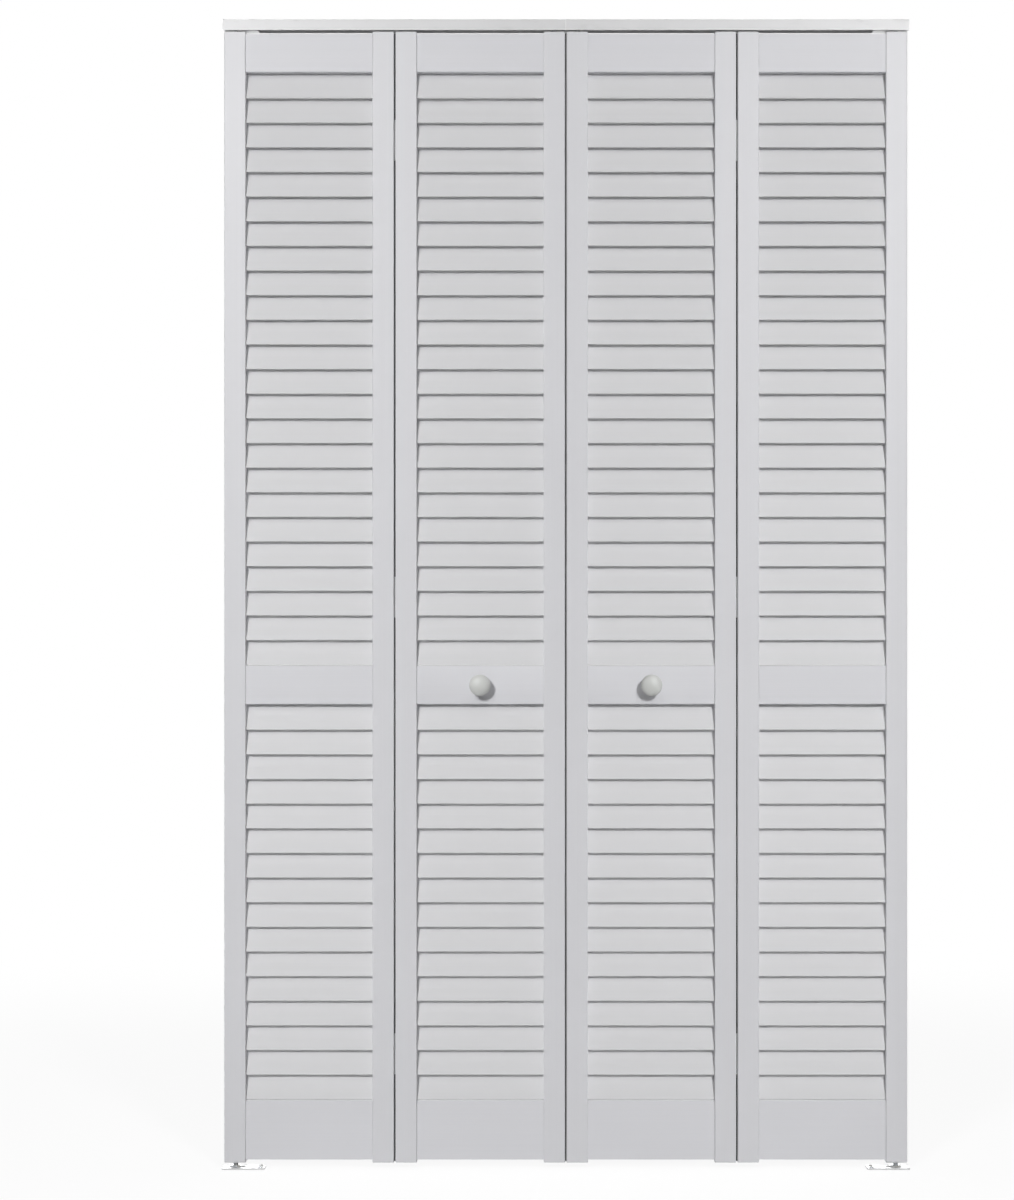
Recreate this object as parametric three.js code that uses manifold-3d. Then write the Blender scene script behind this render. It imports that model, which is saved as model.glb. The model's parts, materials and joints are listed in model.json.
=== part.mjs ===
// Bifold closet door: two folding pairs of louvred leaves that hang under a head track.
// Millimetres. X runs across the opening, the room is at -Y, the closet at +Y, and Z is up.
// The origin is the centre of the head track's top face, which is screwed to the head of the opening.

import * as THREE from 'three';
import { mergeVertices } from 'three/addons/utils/BufferGeometryUtils.js';
import Module from 'manifold-3d';

const { abs, cos, sin, max, min, PI } = Math;

// Fits
const fitGap = 0.3; // between pieces that touch, and round a pin in its hole
const cutOverrun = 1; // how far a cutting shape runs past the face that it opens

// Leaf frame
const leafThickness = 28.6;
const stileWidth = 38.1;
const stileEdgeRadius = 2;
const slatLength = 223.6; // clear width between the two stiles of a leaf
const railRecess = 1.5; // rail faces behind the stile faces
const railEdgeRadius = 1;
const topRailHeight = 67.5;
const midRailHeight = 68;
const bottomRailHeight = 104.3;
const topOverrun = 3.6; // stile end above the top rail
const bottomOverrun = 5.1; // stile end below the bottom rail

// Louvres
const slatChord = 47.6;
const slatThickness = 5;
const slatTilt = 15; // degrees from upright, lower edge towards the room
const slatPitch = 43.55;
const slatSetback = 4; // foremost edge behind the stile faces
const slatEndGap = 0.35; // between a bank's end slats and the rails
const upperSlatCount = 24;
const lowerSlatCount = 16;

// Groove in each stile, which takes the slats' retaining strips and the rails' tongues
const stripThickness = 5;
const stripMargin = 0.5; // strip past the slats, in front and behind
const tongueShoulder = 10; // from a leaf's end rails to the end of the groove

// Gaps between leaves
const hingeGap = 2.5;
const centreGap = 2.2;

// Hinges, on the leaves' closet faces
const hingeHeight = 72;
const hingeEndDistance = 191; // from a leaf's end to the middle of its end hinge
const plateWidth = 27; // from the pin's axis to the plate's free edge
const plateThickness = 1.6;
const plateCornerRadius = 3;
const knuckleRadius = 3;
const knuckleCount = 3;
const hingePinRadius = 1.4;

// Knobs on the lead leaves' middle rails
const knobRadius = 18.8;
const knobProjection = 28.6;
const knobFootRadius = 9.5;
const knobFootHeight = 2.4;
const knobNeckRadius = 7;
const knobNeckHeight = 8.5; // height at which the neck is slimmest
const knobRimHeight = 18.6; // height at which the cap is widest
const knobScrewRadius = 2;
const knobScrewDepth = 12; // screw inside the knob
const screwHeadRadius = 4.4;
const screwHeadHeight = 2.4;
const screwRecessRadius = 2;
const screwRecessDepth = 1.1;

// Head track, in two lengths that meet at the middle of the opening
const trackEndMargin = 1.25; // track past the top bracket's outer end
const trackWidth = 25.4;
const trackHeight = 19;
const trackWall = 1.2;
const trackHem = 2.4; // folded edge along the foot of each side wall
const trackScrewRadius = 2.4;
const trackScrewPlaceShares = [-0.42, -0.14, 0.14, 0.42]; // of a length, from its middle
const trackGap = 3.2; // between the track and the stiles' top ends

// Pivot hardware
const floorClearance = 12.7; // between the floor and the stiles' bottom ends
const pinRadius = 4.75;
const pinNeckRadius = 3.9;
const pinTipChamfer = 1;
const pinLip = 3; // stile material that holds a sprung pin's shoulder
const topPinBodyLength = 34;
const topPinTravel = 9.5;
const topPinTipRise = 2; // tip above the bracket's floor
const springSolidLength = 16.5; // with its coils shut, when the pin is pressed right down
const springWire = 1;
const bracketWall = 2.4;
const bracketSideHeight = 11;
const topBracketOuterReach = 21; // from the pivot axis towards the jamb
const topBracketInnerReach = 40; // from the pivot axis along the track
const floorPlateThickness = 2.4;
const floorPlateWidth = 30;
const floorPlateCornerRadius = 4;
const floorPlateOuterReach = 24; // from the pivot axis towards the jamb
const floorPlateInnerReach = 52; // from the pivot axis towards the centre
const floorScrewRadius = 2.4;
const floorScrewInset = 8; // from the inner end of the plate
const notchPitch = 6.5; // between the places that the foot pin can stand in
const notchCount = 4;
const notchNeckShare = 0.75; // of the notch's radius
const footPinBodyLength = 38;
const footPinTravel = 6;
const footCollarHeight = 3;
const footCollarRadius = 9; // over the corners of the hexagon
const footPinTipRadius = 3.9;
const footPinTipClearance = 0.6; // tip above the floor

// Guide on each lead leaf
const guideStemLength = 36;
const guideFlangeRadius = 8;
const guideFlangeHeight = 1.3;
const guideSpindleRadius = 3;
const guideHeadRadius = 4.6;
const guideHeadHeight = 2;
const wheelRadius = 9.8;
const wheelHeight = 8;
const wheelRise = 3; // wheel above the track's open edge
const wheelEdgeRadius = 1.2;

// Facets
const roundSides = 16;
const smallRoundSides = 12;
const knobSides = 24;
const hexagonSides = 6;
const edgeSteps = 2;
const slatEndSteps = 2;
const knobSteps = 4;

// Worked-out sizes
const tiltAngle = THREE.MathUtils.degToRad(slatTilt);
const slatReach = slatChord - slatThickness; // between the centres of the slat's round edges
const slatRise = slatReach * cos(tiltAngle) + slatThickness;
const slatDepth = slatReach * sin(tiltAngle) + slatThickness;
const leafWidth = slatLength + 2 * stileWidth;
const frontFace = -leafThickness / 2;
const backFace = leafThickness / 2;
const slatFront = frontFace + slatSetback;
const stripFront = slatFront - stripMargin;
const stripBack = slatFront + slatDepth + stripMargin;

const bankHeight = (count) => (count - 1) * slatPitch + slatRise + 2 * slatEndGap;
const bottomRailTop = bottomOverrun + bottomRailHeight;
const midRailBottom = bottomRailTop + bankHeight(lowerSlatCount);
const midRailTop = midRailBottom + midRailHeight;
const topRailBottom = midRailTop + bankHeight(upperSlatCount);
const topRailTop = topRailBottom + topRailHeight;
const leafHeight = topRailTop + topOverrun;

const springLength = springSolidLength + topPinTravel; // between the pin and the bottom of its bore
const leafTopZ = -trackHeight - trackGap;
const leafBottomZ = leafTopZ - leafHeight;
const floorZ = leafBottomZ - floorClearance;
const hingeAxisY = backFace + fitGap + knuckleRadius;
const leadLeafX = centreGap / 2 + leafWidth / 2;
const hingeAxisX = centreGap / 2 + leafWidth + hingeGap / 2;
const pivotLeafX = hingeAxisX + hingeGap / 2 + leafWidth / 2;
const pivotAxisX = pivotLeafX + leafWidth / 2 - stileWidth / 2;
const guideAxisX = centreGap / 2 + stileWidth / 2;
const trackReach = pivotAxisX + topBracketOuterReach + trackEndMargin;
const trackInnerWidth = trackWidth - 2 * trackWall;
const bracketFloorBottom = -trackHeight + fitGap;
const bracketFloorTop = bracketFloorBottom + bracketWall;
const wheelBottom = trackGap + wheelRise; // above the leaf's top end
const wheelTop = wheelBottom + wheelHeight;

// Materials
const finishes = {
  vinyl: { color: '#ececee', roughness: 0.42, metalness: 0 },
  louvre: { color: '#eeeeef', roughness: 0.45, metalness: 0 },
  knob: { color: '#e4e5e1', roughness: 0.35, metalness: 0 },
  whiteSteel: { color: '#e9e9ea', roughness: 0.4, metalness: 0.1 },
  zinc: { color: '#b9bcc0', roughness: 0.38, metalness: 0.9 },
  nylon: { color: '#e2e0d8', roughness: 0.5, metalness: 0 },
};

const wasm = await Module();
wasm.setup();

// Solids from three.js geometry

function solidOf(geometry) {
  const bare = geometry.clone();
  bare.deleteAttribute('normal');
  bare.deleteAttribute('uv');
  const welded = mergeVertices(bare);
  const corners = welded.index.array;
  const triVerts = [];
  for (let i = 0; i < corners.length; i += 3) {
    const [a, b, c] = corners.slice(i, i + 3);
    if (a !== b && b !== c && c !== a) triVerts.push(a, b, c);
  }
  return new wasm.Manifold(
    new wasm.Mesh({
      numProp: 3,
      vertProperties: welded.attributes.position.array,
      triVerts: Uint32Array.from(triVerts),
    }),
  );
}

function geometryOf(solid) {
  const { vertProperties, triVerts } = solid.getMesh();
  const geometry = new THREE.BufferGeometry();
  geometry.setAttribute('position', new THREE.BufferAttribute(vertProperties, 3));
  geometry.setIndex(new THREE.BufferAttribute(triVerts, 1));
  geometry.computeVertexNormals();
  return geometry;
}

function piece(name, finish, solid) {
  const mesh = new THREE.Mesh(geometryOf(solid), new THREE.MeshStandardMaterial(finish));
  mesh.name = name;
  return mesh;
}

const join = (solids) => solids.reduce((whole, next) => whole.add(next));
const cut = (solid, tools) => tools.reduce((left, tool) => left.subtract(tool), solid);

// A block between pairs of limits, given in either order
function block([xa, xb], [ya, yb], [za, zb]) {
  const geometry = new THREE.BoxGeometry(abs(xb - xa), abs(yb - ya), abs(zb - za));
  geometry.translate((xa + xb) / 2, (ya + yb) / 2, (za + zb) / 2);
  return solidOf(geometry);
}

const axisVectors = {
  x: new THREE.Vector3(1, 0, 0),
  y: new THREE.Vector3(0, 1, 0),
  z: new THREE.Vector3(0, 0, 1),
};

// An outline drawn in (y, z) and carried along X
function extrudeX(outline, [xa, xb]) {
  const depth = abs(xb - xa);
  const geometry = new THREE.ExtrudeGeometry(outline, { depth, bevelEnabled: false });
  geometry.applyMatrix4(new THREE.Matrix4().makeBasis(axisVectors.y, axisVectors.z, axisVectors.x));
  geometry.translate(min(xa, xb), 0, 0);
  return solidOf(geometry);
}

// An outline drawn in (x, z) and carried along Y
function extrudeY(outline, [ya, yb]) {
  const depth = abs(yb - ya);
  const geometry = new THREE.ExtrudeGeometry(outline, { depth, bevelEnabled: false });
  geometry.rotateX(PI / 2);
  geometry.translate(0, max(ya, yb), 0);
  return solidOf(geometry);
}

// An outline drawn in (x, y) and carried up Z
function extrudeZ(outline, [za, zb]) {
  const depth = abs(zb - za);
  const geometry = new THREE.ExtrudeGeometry(outline, { depth, bevelEnabled: false });
  geometry.translate(0, 0, min(za, zb));
  return solidOf(geometry);
}

// A profile of (radius, height) points turned about the upright axis at (x, y)
function turned(profile, x = 0, y = 0, sides = roundSides) {
  const geometry = new THREE.LatheGeometry(
    profile.map(([radius, height]) => new THREE.Vector2(radius, height)),
    sides,
  );
  geometry.rotateX(PI / 2);
  geometry.translate(x, y, 0);
  return solidOf(geometry);
}

function rod(radius, [za, zb], x = 0, y = 0, sides = roundSides) {
  return turned([[0, za], [radius, za], [radius, zb], [0, zb]], x, y, sides);
}

function arcPoints(x, y, radius, start, end, steps) {
  const curve = new THREE.EllipseCurve(x, y, radius, radius, start, end);
  return curve.getPoints(steps);
}

// A rectangle about (x, y) with rounded corners
function roundedRectangle(width, height, radius, x = 0, y = 0) {
  const reachX = width / 2 - radius;
  const reachY = height / 2 - radius;
  const corners = [[1, 1], [-1, 1], [-1, -1], [1, -1]];
  const points = corners.flatMap(([signX, signY], quarter) =>
    arcPoints(
      x + signX * reachX,
      y + signY * reachY,
      radius,
      (quarter * PI) / 2,
      ((quarter + 1) * PI) / 2,
      edgeSteps,
    ),
  );
  return new THREE.Shape(points);
}

// Leaf frame pieces, in the leaf's own frame: x from its middle, z from its bottom end

function stile(inward, bores) {
  const outline = roundedRectangle(stileWidth, leafThickness, stileEdgeRadius);
  const bar = extrudeZ(outline, [0, leafHeight]);
  const innerFace = (inward * stileWidth) / 2;
  const groove = block(
    [innerFace - inward * (stripThickness + fitGap), innerFace + inward * cutOverrun],
    [stripFront - fitGap, stripBack + fitGap],
    [bottomOverrun + tongueShoulder, leafHeight - topOverrun - tongueShoulder],
  );
  return cut(bar, [groove, ...bores]);
}

// A rail with a tongue that runs into both stiles' grooves
function rail([bottom, top], [tongueBottom, tongueTop], bores) {
  const middle = (bottom + top) / 2;
  const depth = leafThickness - 2 * railRecess;
  const halfLength = slatLength / 2 - fitGap;
  const outline = roundedRectangle(depth, top - bottom, railEdgeRadius, 0, middle);
  const tongueReach = slatLength / 2 + stripThickness;
  const tongue = block(
    [-tongueReach, tongueReach],
    [stripFront, stripBack],
    [tongueBottom, tongueTop],
  );
  return cut(join([extrudeX(outline, [-halfLength, halfLength]), tongue]), bores);
}

function slatOutline(y, z) {
  const along = PI / 2 - tiltAngle;
  const reachY = (slatReach / 2) * cos(along);
  const reachZ = (slatReach / 2) * sin(along);
  const radius = slatThickness / 2;
  const half = PI / 2;
  const top = arcPoints(y + reachY, z + reachZ, radius, along - half, along + half, slatEndSteps);
  const foot = arcPoints(
    y - reachY, z - reachZ, radius, along + half, along + 3 * half, slatEndSteps,
  );
  return new THREE.Shape([...top, ...foot]);
}

// A bank of slats, joined at their ends by the strips that lie in the stiles' grooves
function louvreBank(bottom, count) {
  const halfLength = (slatLength + stripThickness) / 2;
  const slatY = slatFront + slatDepth / 2;
  const slats = Array.from({ length: count }, (_, index) => {
    const z = bottom + slatEndGap + slatRise / 2 + index * slatPitch;
    return extrudeX(slatOutline(slatY, z), [-halfLength, halfLength]);
  });
  const strips = [-1, 1].map((side) =>
    block(
      [(side * slatLength) / 2, side * (slatLength / 2 + stripThickness)],
      [stripFront, stripBack],
      [bottom + fitGap, bottom + bankHeight(count) - fitGap],
    ),
  );
  return join([...strips, ...slats]);
}

// Bores in a stile for the pins at its ends

function sprungPinBore() {
  const boreBottom = leafHeight - pinLip - fitGap - topPinBodyLength - springLength - 2 * fitGap;
  return [
    rod(pinRadius + fitGap, [boreBottom, leafHeight - pinLip]),
    rod(pinNeckRadius + fitGap, [leafHeight - pinLip - cutOverrun, leafHeight + cutOverrun]),
  ];
}

function footPinBore() {
  const depth = footPinBodyLength + footPinTravel + fitGap;
  return [rod(pinRadius + fitGap, [-cutOverrun, depth])];
}

function guideBore() {
  return [
    rod(pinRadius + fitGap, [leafHeight - guideStemLength - fitGap, leafHeight + cutOverrun]),
  ];
}

function knobScrewBore() {
  const radius = knobScrewRadius + fitGap;
  const geometry = new THREE.CylinderGeometry(radius, radius, leafThickness, smallRoundSides);
  geometry.translate(0, 0, (midRailBottom + midRailTop) / 2);
  return [solidOf(geometry)];
}

// A leaf, whose stile ends are named by what stands beside them
function leaf(name, x, stiles, midRailBores) {
  const group = new THREE.Group();
  group.position.set(x, 0, leafBottomZ);
  stiles.forEach(({ label, side, bores }) => {
    const mesh = piece(`${name}_${label}_stile`, finishes.vinyl, stile(-side, bores));
    mesh.position.x = side * (leafWidth - stileWidth) / 2;
    group.add(mesh);
  });
  const grooveBottom = bottomOverrun + tongueShoulder + fitGap;
  const grooveTop = leafHeight - topOverrun - tongueShoulder - fitGap;
  group.add(
    piece(
      `${name}_bottom_rail`,
      finishes.vinyl,
      rail([bottomOverrun, bottomRailTop], [grooveBottom, bottomRailTop], []),
    ),
    piece(
      `${name}_middle_rail`,
      finishes.vinyl,
      rail([midRailBottom, midRailTop], [midRailBottom, midRailTop], midRailBores),
    ),
    piece(
      `${name}_top_rail`,
      finishes.vinyl,
      rail([topRailBottom, topRailTop], [topRailBottom, grooveTop], []),
    ),
    piece(`${name}_lower_louvres`, finishes.louvre, louvreBank(bottomRailTop, lowerSlatCount)),
    piece(`${name}_upper_louvres`, finishes.louvre, louvreBank(midRailTop, upperSlatCount)),
  );
  return group;
}

// Hinge plates, in a frame on the pin's axis at the hinge's mid height. away is the plate's side

function hingeBlank(away) {
  const near = knuckleRadius + fitGap;
  const width = plateWidth - near;
  const outline = roundedRectangle(
    width, hingeHeight, plateCornerRadius, away * (near + width / 2),
  );
  return extrudeY(outline, [-knuckleRadius, -knuckleRadius + plateThickness]);
}

// One rolled knuckle with the tab that joins it to its plate
function knuckle(away, index) {
  const pitch = hingeHeight / knuckleCount;
  const low = -hingeHeight / 2 + index * pitch + (index > 0 ? fitGap / 2 : 0);
  const high = -hingeHeight / 2 + (index + 1) * pitch - (index < knuckleCount - 1 ? fitGap / 2 : 0);
  const tab = block(
    [0, away * (knuckleRadius + 2 * plateCornerRadius)],
    [-knuckleRadius, -knuckleRadius + plateThickness],
    [low + plateCornerRadius, high - plateCornerRadius],
  );
  return join([rod(knuckleRadius, [low, high], 0, 0, smallRoundSides), tab]);
}

// The pin is fast in the pivot leaf's plate and turns in the lead leaf's plate
function pinnedPlate(away) {
  const pin = rod(hingePinRadius, [-hingeHeight / 2, hingeHeight / 2], 0, 0, smallRoundSides);
  return join([hingeBlank(away), knuckle(away, 0), knuckle(away, knuckleCount - 1), pin]);
}

function turningPlate(away) {
  const bore = rod(
    hingePinRadius + fitGap, [-hingeHeight, hingeHeight], 0, 0, smallRoundSides,
  );
  return cut(join([hingeBlank(away), knuckle(away, 1)]), [bore]);
}

function hinges(name, side) {
  const group = new THREE.Group();
  group.position.set(side * hingeAxisX, hingeAxisY, leafBottomZ);
  const places = {
    bottom: hingeEndDistance,
    middle: leafHeight / 2,
    top: leafHeight - hingeEndDistance,
  };
  for (const [label, z] of Object.entries(places)) {
    const pinned = piece(`${name}_${label}_hinge_pinned_plate`, finishes.whiteSteel, pinnedPlate(side));
    const turning = piece(
      `${name}_${label}_hinge_turning_plate`, finishes.whiteSteel, turningPlate(-side),
    );
    pinned.position.z = z;
    turning.position.z = z;
    group.add(pinned, turning);
  }
  return group;
}

// Knob, turned about its own axis with its foot at zero

function knobProfile() {
  const neck = new THREE.Path();
  neck.moveTo(0, 0);
  neck.lineTo(knobFootRadius, 0);
  neck.lineTo(knobFootRadius, knobFootHeight);
  neck.quadraticCurveTo(knobNeckRadius, knobFootHeight, knobNeckRadius, knobNeckHeight);
  neck.quadraticCurveTo(knobNeckRadius, knobRimHeight, knobRadius, knobRimHeight);
  const capHeight = knobProjection - knobRimHeight;
  const cap = new THREE.EllipseCurve(0, knobRimHeight, knobRadius, capHeight, 0, PI / 2);
  return [...neck.getPoints(knobSteps), ...cap.getPoints(knobSteps).slice(1)];
}

function knob() {
  const profile = knobProfile().map(({ x, y }) => [x, y]);
  const body = turned([...profile.slice(0, -1), [0, knobProjection]], 0, 0, knobSides);
  const socket = rod(
    knobScrewRadius + fitGap, [-cutOverrun, knobScrewDepth + fitGap], 0, 0, smallRoundSides,
  );
  return cut(body, [socket]);
}

// Screw from the closet side, with its head's underside at zero and its shank upwards
function knobScrew() {
  const shank = leafThickness - 2 * railRecess + 2 * fitGap + knobScrewDepth;
  const edge = screwHeadHeight / 2;
  const body = turned(
    [
      [0, -screwHeadHeight],
      [screwHeadRadius - edge, -screwHeadHeight],
      [screwHeadRadius, -edge],
      [screwHeadRadius, 0],
      [knobScrewRadius, 0],
      [knobScrewRadius, shank],
      [0, shank],
    ],
    0, 0, smallRoundSides,
  );
  const recess = rod(
    screwRecessRadius,
    [-screwHeadHeight - cutOverrun, -screwHeadHeight + screwRecessDepth],
    0, 0, hexagonSides,
  );
  return cut(body, [recess]);
}

function knobSet(name, side) {
  const group = new THREE.Group();
  const z = leafBottomZ + (midRailBottom + midRailTop) / 2;
  const rollForward = PI / 2;
  const front = frontFace + railRecess - fitGap;
  const back = backFace - railRecess + fitGap;
  const handle = piece(`${name}_knob`, finishes.knob, knob());
  handle.rotation.x = rollForward;
  handle.position.set(side * leadLeafX, front, z);
  const screw = piece(`${name}_knob_screw`, finishes.zinc, knobScrew());
  screw.rotation.x = rollForward;
  screw.position.set(side * leadLeafX, back, z);
  group.add(handle, screw);
  return group;
}

// One length of head track, a channel open below with a hem folded in along each wall's foot
function headTrack(side) {
  const half = trackWidth / 2;
  const inner = half - trackWall;
  const hemInner = inner - trackWall;
  const hemTop = -trackHeight + trackHem;
  const outline = new THREE.Shape(
    [
      [-half, 0],
      [-half, -trackHeight],
      [-hemInner, -trackHeight],
      [-hemInner, hemTop],
      [-inner, hemTop],
      [-inner, -trackWall],
      [inner, -trackWall],
      [inner, hemTop],
      [hemInner, hemTop],
      [hemInner, -trackHeight],
      [half, -trackHeight],
      [half, 0],
    ].map(([y, z]) => new THREE.Vector2(y, z)),
  );
  const near = fitGap / 2;
  const channel = extrudeX(outline, [side * near, side * trackReach]);
  const middle = (side * (near + trackReach)) / 2;
  const holes = trackScrewPlaceShares.map((share) =>
    rod(
      trackScrewRadius,
      [-trackWall - cutOverrun, cutOverrun],
      middle + share * (trackReach - near),
      0,
      smallRoundSides,
    ),
  );
  return cut(channel, holes);
}

// Trough that is clamped in the end of the track and carries the top pin. x is from the pivot axis
function topBracket(side) {
  const half = trackInnerWidth / 2 - trackWall - fitGap;
  const reach = [side * topBracketOuterReach, -side * topBracketInnerReach];
  const floorPlate = block(reach, [-half, half], [bracketFloorBottom, bracketFloorTop]);
  const upper = trackInnerWidth / 2 - fitGap;
  const shelfBottom = -trackHeight + trackHem + fitGap;
  const walls = [-1, 1].map((wall) =>
    block(
      reach,
      [wall * upper, wall * (half - bracketWall)],
      [shelfBottom, bracketFloorBottom + bracketSideHeight],
    ),
  );
  const feet = [-1, 1].map((wall) =>
    block(
      reach,
      [wall * half, wall * (half - bracketWall)],
      [bracketFloorBottom, bracketFloorBottom + bracketSideHeight],
    ),
  );
  const bore = rod(
    pinNeckRadius + fitGap, [bracketFloorBottom - cutOverrun, bracketFloorTop + cutOverrun],
  );
  return cut(join([floorPlate, ...feet, ...walls]), [bore]);
}

// Sprung pin in the pivot leaf's top end. z is from the leaf's top end
function topPin() {
  const shoulder = -pinLip - fitGap;
  const tip = trackGap + fitGap + bracketWall + topPinTipRise;
  return turned([
    [0, shoulder - topPinBodyLength],
    [pinRadius - pinTipChamfer, shoulder - topPinBodyLength],
    [pinRadius, shoulder - topPinBodyLength + pinTipChamfer],
    [pinRadius, shoulder],
    [pinNeckRadius, shoulder],
    [pinNeckRadius, tip - pinTipChamfer],
    [pinNeckRadius - pinTipChamfer, tip],
    [0, tip],
  ]);
}

// Envelope of the coil spring under the top pin
function topSpring() {
  const top = -pinLip - fitGap - topPinBodyLength - fitGap;
  const bottom = top - springLength;
  const inner = pinRadius - 2 * springWire;
  return turned(
    [
      [inner, bottom],
      [pinRadius, bottom],
      [pinRadius, top],
      [inner, top],
      [inner, bottom],
    ],
    0, 0, smallRoundSides,
  );
}

// Floor plate with a row of linked notches for the foot pin. x is from the pivot axis, z from the floor
function floorBracket(side) {
  const length = floorPlateOuterReach + floorPlateInnerReach;
  const centre = (side * (floorPlateOuterReach - floorPlateInnerReach)) / 2;
  const outline = roundedRectangle(length, floorPlateWidth, floorPlateCornerRadius, centre);
  const plate = extrudeZ(outline, [0, floorPlateThickness]);
  const through = [-cutOverrun, floorPlateThickness + cutOverrun];
  const notchRadius = footPinTipRadius + fitGap;
  const notches = Array.from({ length: notchCount }, (_, index) =>
    rod(notchRadius, through, side * (1 - index) * notchPitch, 0),
  );
  const neck = notchRadius * notchNeckShare;
  const slot = block(
    [side * notchPitch, side * (2 - notchCount) * notchPitch], [-neck, neck], through,
  );
  const screwX = -side * (floorPlateInnerReach - floorScrewInset);
  const screwY = floorPlateWidth / 2 - floorScrewInset;
  const screwHoles = [-1, 1].map((row) =>
    rod(floorScrewRadius, through, screwX, row * screwY, smallRoundSides),
  );
  return cut(plate, [join([...notches, slot]), ...screwHoles]);
}

// Threaded foot pin with its hexagonal collar. z is from the leaf's bottom end
function footPin() {
  const collarBottom = -floorClearance + floorPlateThickness + fitGap;
  const body = turned([
    [0, -floorClearance + footPinTipClearance],
    [footPinTipRadius - pinTipChamfer, -floorClearance + footPinTipClearance],
    [footPinTipRadius, -floorClearance + footPinTipClearance + pinTipChamfer],
    [footPinTipRadius, collarBottom],
    [pinRadius, collarBottom],
    [pinRadius, footPinBodyLength - pinTipChamfer],
    [pinRadius - pinTipChamfer, footPinBodyLength],
    [0, footPinBodyLength],
  ]);
  const collar = rod(
    footCollarRadius, [collarBottom, collarBottom + footCollarHeight], 0, 0, hexagonSides,
  );
  return join([body, collar]);
}

// Guide stem pressed into the lead leaf's top end, and the wheel on it. z is from the leaf's top end

function guideStem() {
  const seat = wheelBottom - fitGap;
  const head = wheelTop + fitGap;
  return turned([
    [0, -guideStemLength],
    [pinRadius - pinTipChamfer, -guideStemLength],
    [pinRadius, -guideStemLength + pinTipChamfer],
    [pinRadius, fitGap],
    [guideFlangeRadius, fitGap],
    [guideFlangeRadius, fitGap + guideFlangeHeight],
    [pinRadius, fitGap + guideFlangeHeight],
    [pinRadius, seat],
    [guideSpindleRadius, seat],
    [guideSpindleRadius, head],
    [guideHeadRadius, head],
    [guideHeadRadius, head + guideHeadHeight / 2],
    [guideSpindleRadius, head + guideHeadHeight],
    [0, head + guideHeadHeight],
  ]);
}

function guideWheel() {
  const bore = guideSpindleRadius + fitGap;
  return turned([
    [bore, wheelBottom],
    [wheelRadius - wheelEdgeRadius, wheelBottom],
    [wheelRadius, wheelBottom + wheelEdgeRadius],
    [wheelRadius, wheelTop - wheelEdgeRadius],
    [wheelRadius - wheelEdgeRadius, wheelTop],
    [bore, wheelTop],
    [bore, wheelBottom],
  ]);
}

// One folding pair on its side of the opening: -1 is the left-hand pair, 1 the right-hand pair
function foldingPair(name, side) {
  const group = new THREE.Group();
  group.add(
    leaf(
      `${name}_pivot_leaf`,
      side * pivotLeafX,
      [
        { label: 'jamb', side, bores: [...sprungPinBore(), ...footPinBore()] },
        { label: 'hinge', side: -side, bores: [] },
      ],
      [],
    ),
    leaf(
      `${name}_lead_leaf`,
      side * leadLeafX,
      [
        { label: 'hinge', side, bores: [] },
        { label: 'meeting', side: -side, bores: guideBore() },
      ],
      knobScrewBore(),
    ),
    hinges(name, side),
    knobSet(name, side),
  );
  const hardware = [
    [`${name}_head_track`, finishes.whiteSteel, headTrack(side), 0, 0],
    [`${name}_top_bracket`, finishes.whiteSteel, topBracket(side), pivotAxisX, 0],
    [`${name}_top_pin`, finishes.zinc, topPin(), pivotAxisX, leafTopZ],
    [`${name}_top_pin_spring`, finishes.zinc, topSpring(), pivotAxisX, leafTopZ],
    [`${name}_floor_bracket`, finishes.whiteSteel, floorBracket(side), pivotAxisX, floorZ],
    [`${name}_foot_pin`, finishes.zinc, footPin(), pivotAxisX, leafBottomZ],
    [`${name}_guide_stem`, finishes.zinc, guideStem(), guideAxisX, leafTopZ],
    [`${name}_guide_wheel`, finishes.nylon, guideWheel(), guideAxisX, leafTopZ],
  ];
  for (const [label, finish, solid, x, z] of hardware) {
    const mesh = piece(label, finish, solid);
    mesh.position.set(side * x, 0, z);
    group.add(mesh);
  }
  return group;
}

const door = new THREE.Group();
door.name = 'bifold_closet_door';
door.add(foldingPair('left', -1), foldingPair('right', 1));

export default door;
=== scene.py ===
"""Looks of a bifold closet door: four white louvred leaves in two folding pairs under a head track."""

import json
import logging
import math
from contextlib import contextmanager
from dataclasses import dataclass, field, replace
from enum import Enum
from typing import Any, Callable, Dict, Iterator, List, Optional, Sequence, Tuple, Union

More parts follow.
